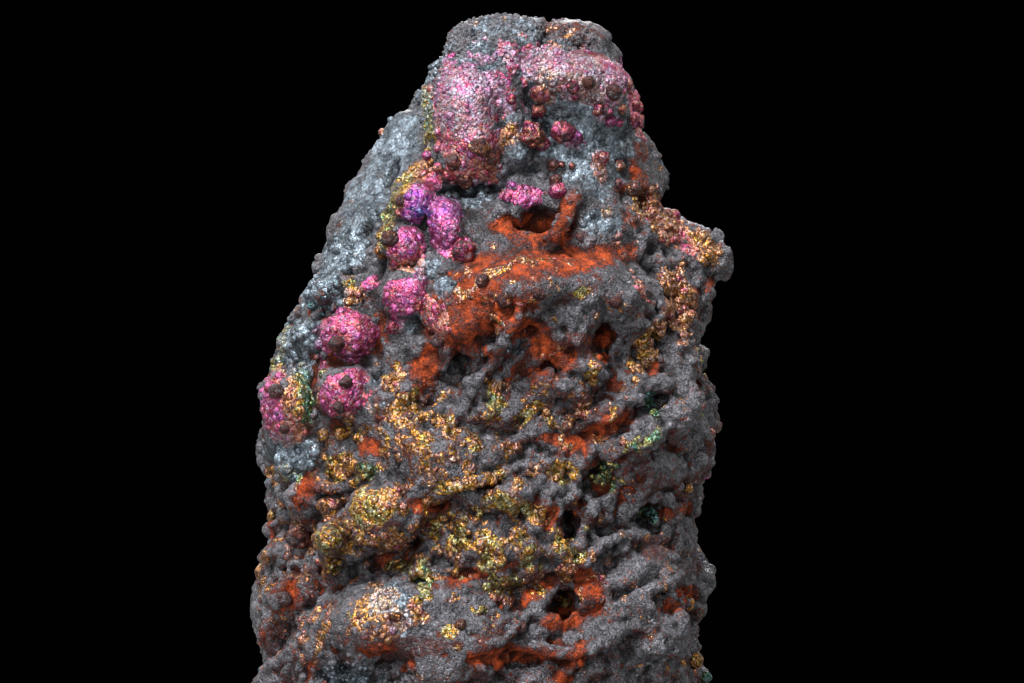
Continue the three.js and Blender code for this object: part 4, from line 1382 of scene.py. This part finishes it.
# How much of each size of pebbles stands on each surface.
STANDING = {
    "stone": {"warts": 0.40, "beads": 0.45, "grit": 1.2},
    "ochre": {"warts": 0.30, "beads": 0.30, "grit": 1.2},
    "silver": {"warts": 0.60, "beads": 0.60, "grit": 0.5},
    "film": {"warts": 0.65, "beads": 0.90, "grit": 0.9},
}
ROCK = (1.7, 0.55)  # width and height of the bare stone's own roughness, in millimetres

# Where the mask of each of the mesh's values starts and ends, and how far its edge wanders with the patches,
# the warts, the beads and the grit.
MASKS = {
    "film": (0.44, 0.54, (0.8, 0.5, 0.4, 0.15)),
    "silver": (0.35, 0.65, (0.6, 0.2, 0.3, 0.2)),
    "ochre": (0.26, 0.74, (0.8, 0.15, 0.15, 0.30)),
    "maroon": (0.35, 0.80, (0.8, 0.2, 0.3, 0.4)),
}
# The same for the wider halo of two of them.
HALOS = {
    "film": (0.24, 0.48, (0.6, 0.4, 0.3, 0.3)),  # rust round the gold
    "ochre": (0.14, 0.44, (0.4, 0.1, 0.1, 0.15)),  # maroon round the ochre
}

# Roughness and share of metal of the four surfaces. The film has a coarse end and a fine, pink end.
ROUGH = {"stone": 0.48, "ochre": 0.90, "silver": 0.46, "film": (0.38, 0.46)}
METAL = {"stone": 0.25, "ochre": 0.00, "silver": 0.70, "film": (0.90, 0.82)}
# How dark the painted shade in the creases between pebbles is on each of the four surfaces.
PAINTED_CREASE_SHADE = {"stone": 0.15, "ochre": 0.15, "silver": 0.55, "film": 0.65}


class Finish(Graph):
    """The graph of the stone's finish: its patterns and masks, and the colour (with painted shade and
    highlights), gloss and height they give.
    """

    def __init__(self, tree, settings):
        super().__init__(tree)
        self.settings = settings
        self.pebbles = {name: self.pressed(size, bend) for name, (size, bend, _) in PEBBLES.items()}
        self.warts, self.beads, self.grit = self.pebbles.values()
        self.patch = self.noise(2.4, 3.0, 0.6)
        self.fine = self.spread(self.value("tint"), 0.60, 0.70)  # 1 on the film's pink end
        self.calm = self.blend(self.fine, 1.0, 0.62)
        self.film = self.times(self.masked("film", MASKS, self.calm), settings.film)
        self.silver = self.masked("silver", MASKS)
        self.ochre = self.masked("ochre", MASKS)
        self.maroon = self.math("MAXIMUM", self.masked("maroon", MASKS), self.masked("ochre", HALOS))

    def grouped(self, name, maker, inputs):
        """The outputs of a node of this group, which the maker builds when it is first used."""
        tree = bpy.data.node_groups.get(name) or maker()
        return self.node("ShaderNodeGroup", inputs, node_tree=tree).outputs

    def pressed(self, size, bend):
        return self.grouped("pressed pebbles", pebble_group, {"Size": size, "Bend": bend})

    def masked(self, name, masks, calm=None):
        """A value of the mesh as a mask whose edge runs between pebbles and wanders less where it is calm."""
        low, high, shares = masks[name]
        value = self.value(name)
        numbers = (self.patch, self.warts["Random"], self.beads["Random"], self.grit["Random"])
        for number, share in zip(numbers, shares):
            if calm is not None:
                share = self.times(calm, share)
            value = self.math("ADD", value, self.times(self.math("SUBTRACT", number, 0.5), share))
        return self.spread(value, low, high)

    def speckled(self, colour, least, most, by=None):
        """A colour whose brightness differs from grain to grain."""
        if by is None:
            by = self.grit["Other"]
        return self.mix(by, shaded(colour, least), shaded(colour, most))

    def darkened(self, colour, share, where):
        """The colour nearer to black by this share, where the mask is 1."""
        return self.mix(where, colour, self.mix(share, colour, BLACK))

    def laid(self, stone, ochre, silver, film):
        """A number that differs between the four surfaces."""
        number = self.blend(self.ochre, stone, ochre)
        number = self.blend(self.silver, number, silver)
        return self.blend(self.film, number, film)

    def bare(self):
        """Grey stone with painted glints and a painted highlight on its paler crests, darker in broad
        patches.
        """
        stone = self.settings.stone
        broad = self.spread(self.noise(7.0, 3.0), 0.35, 0.7)
        colour = self.mix(broad, self.speckled(stone, 0.4, 1.7), self.speckled(stone, 0.25, 1.2))
        # Painted highlights: bright specks on some beads and grit stand in for glints of light.
        painted_glint_beads = self.spread(self.beads["Other"], 0.80, 0.95)
        glints = self.times(painted_glint_beads, self.spread(self.grit["Random"], 0.5, 0.9))
        colour = self.mix(self.times(glints, 0.8), colour, shaded(stone, 3.6))
        # Painted highlight: crests, where the mesh is least hollow, are made paler.
        crest = self.spread(self.value("hollow"), 0.45, 0.05)
        return self.mix(self.times(crest, 0.6), colour, self.speckled(stone, 0.9, 2.4))

    def stained(self, colour):
        """The colour under maroon bloom, specks of rust and powdery ochre."""
        ochre, by_grit = self.settings.ochre, self.grit["Random"]
        maroon = self.speckled(self.settings.maroon, 0.6, 1.5)
        colour = self.mix(self.times(self.maroon, 0.85), colour, maroon)
        rusty_beads = self.spread(self.beads["Random"], 0.70, 0.9)
        rust = self.times(rusty_beads, self.spread(self.patch, 0.50, 0.62))
        colour = self.mix(self.times(rust, 0.8), colour, self.speckled(ochre, 0.1, 0.5, by_grit))
        tarnish = self.times(self.masked("film", HALOS), self.blend(self.fine, 0.7, 0.0))
        colour = self.mix(tarnish, colour, self.speckled(ochre, 0.05, 0.42, by_grit))
        thin = self.spread(self.noise(1.3, 3.0, 0.6), 0.35, 0.62)
        powder = self.mix(thin, self.speckled(ochre, 0.8, 1.4), self.speckled(ochre, 0.15, 0.6))
        return self.mix(self.ochre, colour, powder)

    def silvery(self):
        """Silver crust in darker and brighter plates."""
        silver = self.settings.silver
        plates = self.spread(self.noise(2.2, 3.0, 0.55), 0.40, 0.60)
        return self.mix(plates, self.speckled(silver, 0.15, 0.5), self.speckled(silver, 0.6, 1.3))

    def iridescent(self):
        """The film's colour, darker in some grains, paler in others as painted glints, and paler where it
        lies on silver.
        """
        given = {
            "Tint": self.value("tint"),
            "Own": self.value("grain"),
            "Bead": self.beads["Random"],
            "Rim": self.math("SUBTRACT", 1.0, self.warts["Height"]),
            "Calm": self.calm,
        }
        rainbow = self.grouped("iridescent film", film_group, given)["Color"]
        shade = self.times(self.spread(self.grit["Other"], 0.80, 0.0), self.blend(self.fine, 0.85, 0.80))
        colour = self.darkened(rainbow, 0.75, shade)
        # Painted highlights: some grains are made pale as glints; on silver the paler colour is the silver
        # crust's own.
        painted_glint_grit = self.times(self.spread(self.grit["Random"], 0.65, 0.95), 0.42)
        on_silver = self.times(self.silver, self.blend(self.beads["Other"], 0.30, 0.75))
        pale = self.math("MAXIMUM", painted_glint_grit, on_silver)
        return self.mix(pale, colour, self.speckled(self.settings.silver, 0.4, 1.6, self.grit["Random"]))

    def colour(self):
        """The surfaces laid over each other, with painted shade in their hollows and creases."""
        colour = self.mix(self.silver, self.stained(self.bare()), self.silvery())
        colour = self.mix(self.film, colour, self.iridescent())
        # Painted shade: the colour is darkened where the mesh is hollow.
        sunk = self.spread(self.value("hollow"), 0.46, 0.86)
        colour = self.darkened(colour, 0.88, self.times(sunk, 0.9))
        # Painted shade in the creases between the pebbles, on the film scaled by its calm.
        creases = self.math("MAXIMUM", self.warts["Crease"], self.times(self.beads["Crease"], 0.8))
        shares = {**PAINTED_CREASE_SHADE, "film": self.times(self.calm, PAINTED_CREASE_SHADE["film"])}
        return self.darkened(colour, 0.85, self.times(creases, self.laid(**shares)))

    def metallic(self):
        return self.laid(**{**METAL, "film": self.blend(self.fine, *METAL["film"])})

    def roughness(self):
        rough = self.laid(**{**ROUGH, "film": self.blend(self.fine, *ROUGH["film"])})
        uneven = self.times(self.math("SUBTRACT", self.grit["Random"], 0.5), 0.2)
        return self.math("ADD", rough, uneven)

    def height(self):
        """The bump in millimetres: the stone's own roughness, then the three sizes of pebbles."""
        width, tall = ROCK
        rock = self.laid(stone=tall, ochre=0.7 * tall, silver=0.2 * tall, film=0.2 * tall)
        height = self.times(self.noise(width, 6.0, 0.62), rock)
        for name, (_, _, tall) in PEBBLES.items():
            standing = {surface: tall * shares[name] for surface, shares in STANDING.items()}
            if name != "grit":
                standing["film"] = self.times(self.calm, standing["film"])
            stood = self.times(self.pebbles[name]["Height"], self.laid(**standing))
            height = self.math("ADD", height, stood)
        return height


def goethite_material():
    """Grey goethite with its maroon bloom, powdery ochre, silvery crust and iridescent film, painted shade in
    its hollows and creases, and painted glints and highlights.
    """
    material = bpy.data.materials.new(MATERIAL)
    material.use_nodes = True
    finish = Finish(material.node_tree, bpy.context.scene.goethite_finish)
    shader = material.node_tree.nodes["Principled BSDF"]
    bump = finish.node("ShaderNodeBump", {"Height": finish.height(), "Strength": 1.0, "Distance": MM})
    finish.put(shader.inputs["Base Color"], finish.colour())
    finish.put(shader.inputs["Metallic"], finish.metallic())
    finish.put(shader.inputs["Roughness"], finish.roughness())
    finish.put(shader.inputs["Normal"], bump.outputs["Normal"])
    shader.inputs["Specular IOR Level"].default_value = 0.3
    return material


class OBJECT_OT_goethite_finish(bpy.types.Operator):
    """Make the stone's material and the node groups that it is built from"""

    bl_idname = "object.goethite_finish"
    bl_label = "Finish"

    def execute(self, context):
        goethite_material()
        return {"FINISHED"}


# ---- stage ---------------------------------------------------------------------------------------------


class GoethiteStage(bpy.types.PropertyGroup):
    floor_radius: bpy.props.FloatProperty(
        name="Floor radius",
        description="Radius of the round floor",
        default=0.205,
        unit="LENGTH",
    )
    floor_colour: colour_setting("Floor", "Colour of the floor", (0.20, 0.20, 0.195))
    background: bpy.props.FloatProperty(
        name="Background",
        description="Brightness of the dark background",
        default=0.0003,
        min=0,
        max=1,
    )
    light: bpy.props.FloatProperty(
        name="Light",
        description="Share of the lamps' full strength",
        default=1.0,
        min=0,
        max=5,
        subtype="FACTOR",
    )


AIM = Vector((2.42, 0.0, 53.98)) * MM  # the point that the camera and the lamps look at
CAMERA_DISTANCE = 0.6827  # from the aim, in metres
LENS = 200  # focal length in millimetres
NEAREST_SEEN = 0.01  # distance in metres under which the camera shows nothing
FLOOR_DROP = 0.05 * MM  # how far the floor lies below the stone's base
FLOOR_ROUGHNESS = 0.8

# Lamps: azimuth and elevation in degrees, distance and width in metres, strength in watts.
LAMPS = [
    ("key", -30, 54, 0.55, 0.16, 4.9),
    ("fill", 28, 18, 0.60, 0.24, 0.85),
    ("top", 16, 76, 0.55, 0.20, 1.4),
    ("rim_left", -118, 26, 0.60, 0.24, 1.5),
    ("rim_right", 118, 30, 0.60, 0.24, 1.0),
    ("back", 180, 30, 0.60, 0.24, 2.4),
    ("low", -24, 4, 0.70, 0.30, 2.0),
]


def aimed(obj, place):
    obj.location = place
    obj.rotation_euler = (AIM - place).to_track_quat("-Z", "Y").to_euler()
    bpy.context.scene.collection.objects.link(obj)


def away(azimuth, elevation, distance):
    """The place at this distance from the aim. Azimuth 0 is in front and 90 on the right."""
    a, e = math.radians(azimuth), math.radians(elevation)
    return AIM + Vector((math.sin(a) * math.cos(e), -math.cos(a) * math.cos(e), math.sin(e))) * distance


def plain_material(name, colour):
    """A soft matte finish with a faint mottle."""
    material = bpy.data.materials.new(name)
    material.use_nodes = True
    graph = Graph(material.node_tree)
    shader = material.node_tree.nodes["Principled BSDF"]
    mottled = graph.mix(graph.noise(40.0, 3.0), shaded(colour, 1.0), shaded(colour, 0.94))
    graph.put(shader.inputs["Base Color"], mottled)
    shader.inputs["Roughness"].default_value = FLOOR_ROUGHNESS
    return material


class OBJECT_OT_goethite_stage(bpy.types.Operator):
    """Set up the floor, the lamps, the background and the camera"""

    bl_idname = "object.goethite_stage"
    bl_label = "Stage"

    def execute(self, context):
        settings = context.scene.goethite_stage
        bpy.ops.object.select_all(action="DESELECT")
        bpy.ops.mesh.primitive_circle_add(
            vertices=128, radius=settings.floor_radius, fill_type="NGON", location=(0, 0, -FLOOR_DROP)
        )
        floor = context.object
        floor.name = "floor"
        floor.data.materials.append(plain_material("pale floor", settings.floor_colour))

        for name, azimuth, elevation, distance, width, watts in LAMPS:
            lamp = bpy.data.lights.new(name, "AREA")
            lamp.shape = "DISK"
            lamp.size = width
            lamp.energy = watts * settings.light
            aimed(bpy.data.objects.new(name, lamp), away(azimuth, elevation, distance))

        world = bpy.data.worlds.new("dark studio")
        world.use_nodes = True
        world.node_tree.nodes["Background"].inputs["Color"].default_value = (*(settings.background,) * 3, 1)
        context.scene.world = world
        context.scene.view_settings.view_transform = "Standard"

        camera = bpy.data.cameras.new("camera")
        camera.lens = LENS
        camera.clip_start = NEAREST_SEEN
        obj = bpy.data.objects.new("camera", camera)
        aimed(obj, away(0, 0, CAMERA_DISTANCE))
        context.scene.camera = obj
        return {"FINISHED"}


# ---- panel ---------------------------------------------------------------------------------------------


class VIEW3D_PT_goethite(bpy.types.Panel):
    bl_idname = "VIEW3D_PT_goethite"
    bl_label = "Iridescent goethite"
    bl_space_type = "VIEW_3D"
    bl_region_type = "UI"
    bl_category = "Goethite"

    def draw(self, context):
        for heading, settings, operators in PANEL:
            box = self.layout.box()
            box.label(text=heading)
            group = getattr(context.scene, settings)
            for name in group.__annotations__:
                box.prop(group, name)
            for operator in operators:
                box.operator(operator.bl_idname)


# Headings of the panel, the settings under each, and its operators, in the order in which they run.
PANEL = [
    ("Finish", "goethite_finish", [OBJECT_OT_goethite_finish]),
    ("Stone", "goethite_stone", [OBJECT_OT_goethite_stone]),
    ("Crusts", "goethite_crusts", [OBJECT_OT_goethite_nodules, OBJECT_OT_goethite_crusts]),
    ("Stage", "goethite_stage", [OBJECT_OT_goethite_stage]),
]
SETTINGS = {
    "goethite_finish": GoethiteFinish,
    "goethite_stone": GoethiteStone,
    "goethite_crusts": GoethiteCrusts,
    "goethite_stage": GoethiteStage,
}
OPERATORS = [operator for _, _, operators in PANEL for operator in operators]
CLASSES = [*SETTINGS.values(), *OPERATORS, VIEW3D_PT_goethite]


def register():
    for cls in CLASSES:
        bpy.utils.register_class(cls)
    for name, settings in SETTINGS.items():
        setattr(bpy.types.Scene, name, bpy.props.PointerProperty(type=settings))


def unregister():
    for name in SETTINGS:
        delattr(bpy.types.Scene, name)
    for cls in reversed(CLASSES):
        bpy.utils.unregister_class(cls)


def main():
    register()
    for operator in OPERATORS:
        getattr(bpy.ops.object, operator.bl_idname.removeprefix("object."))()


if __name__ == "__main__":
    main()
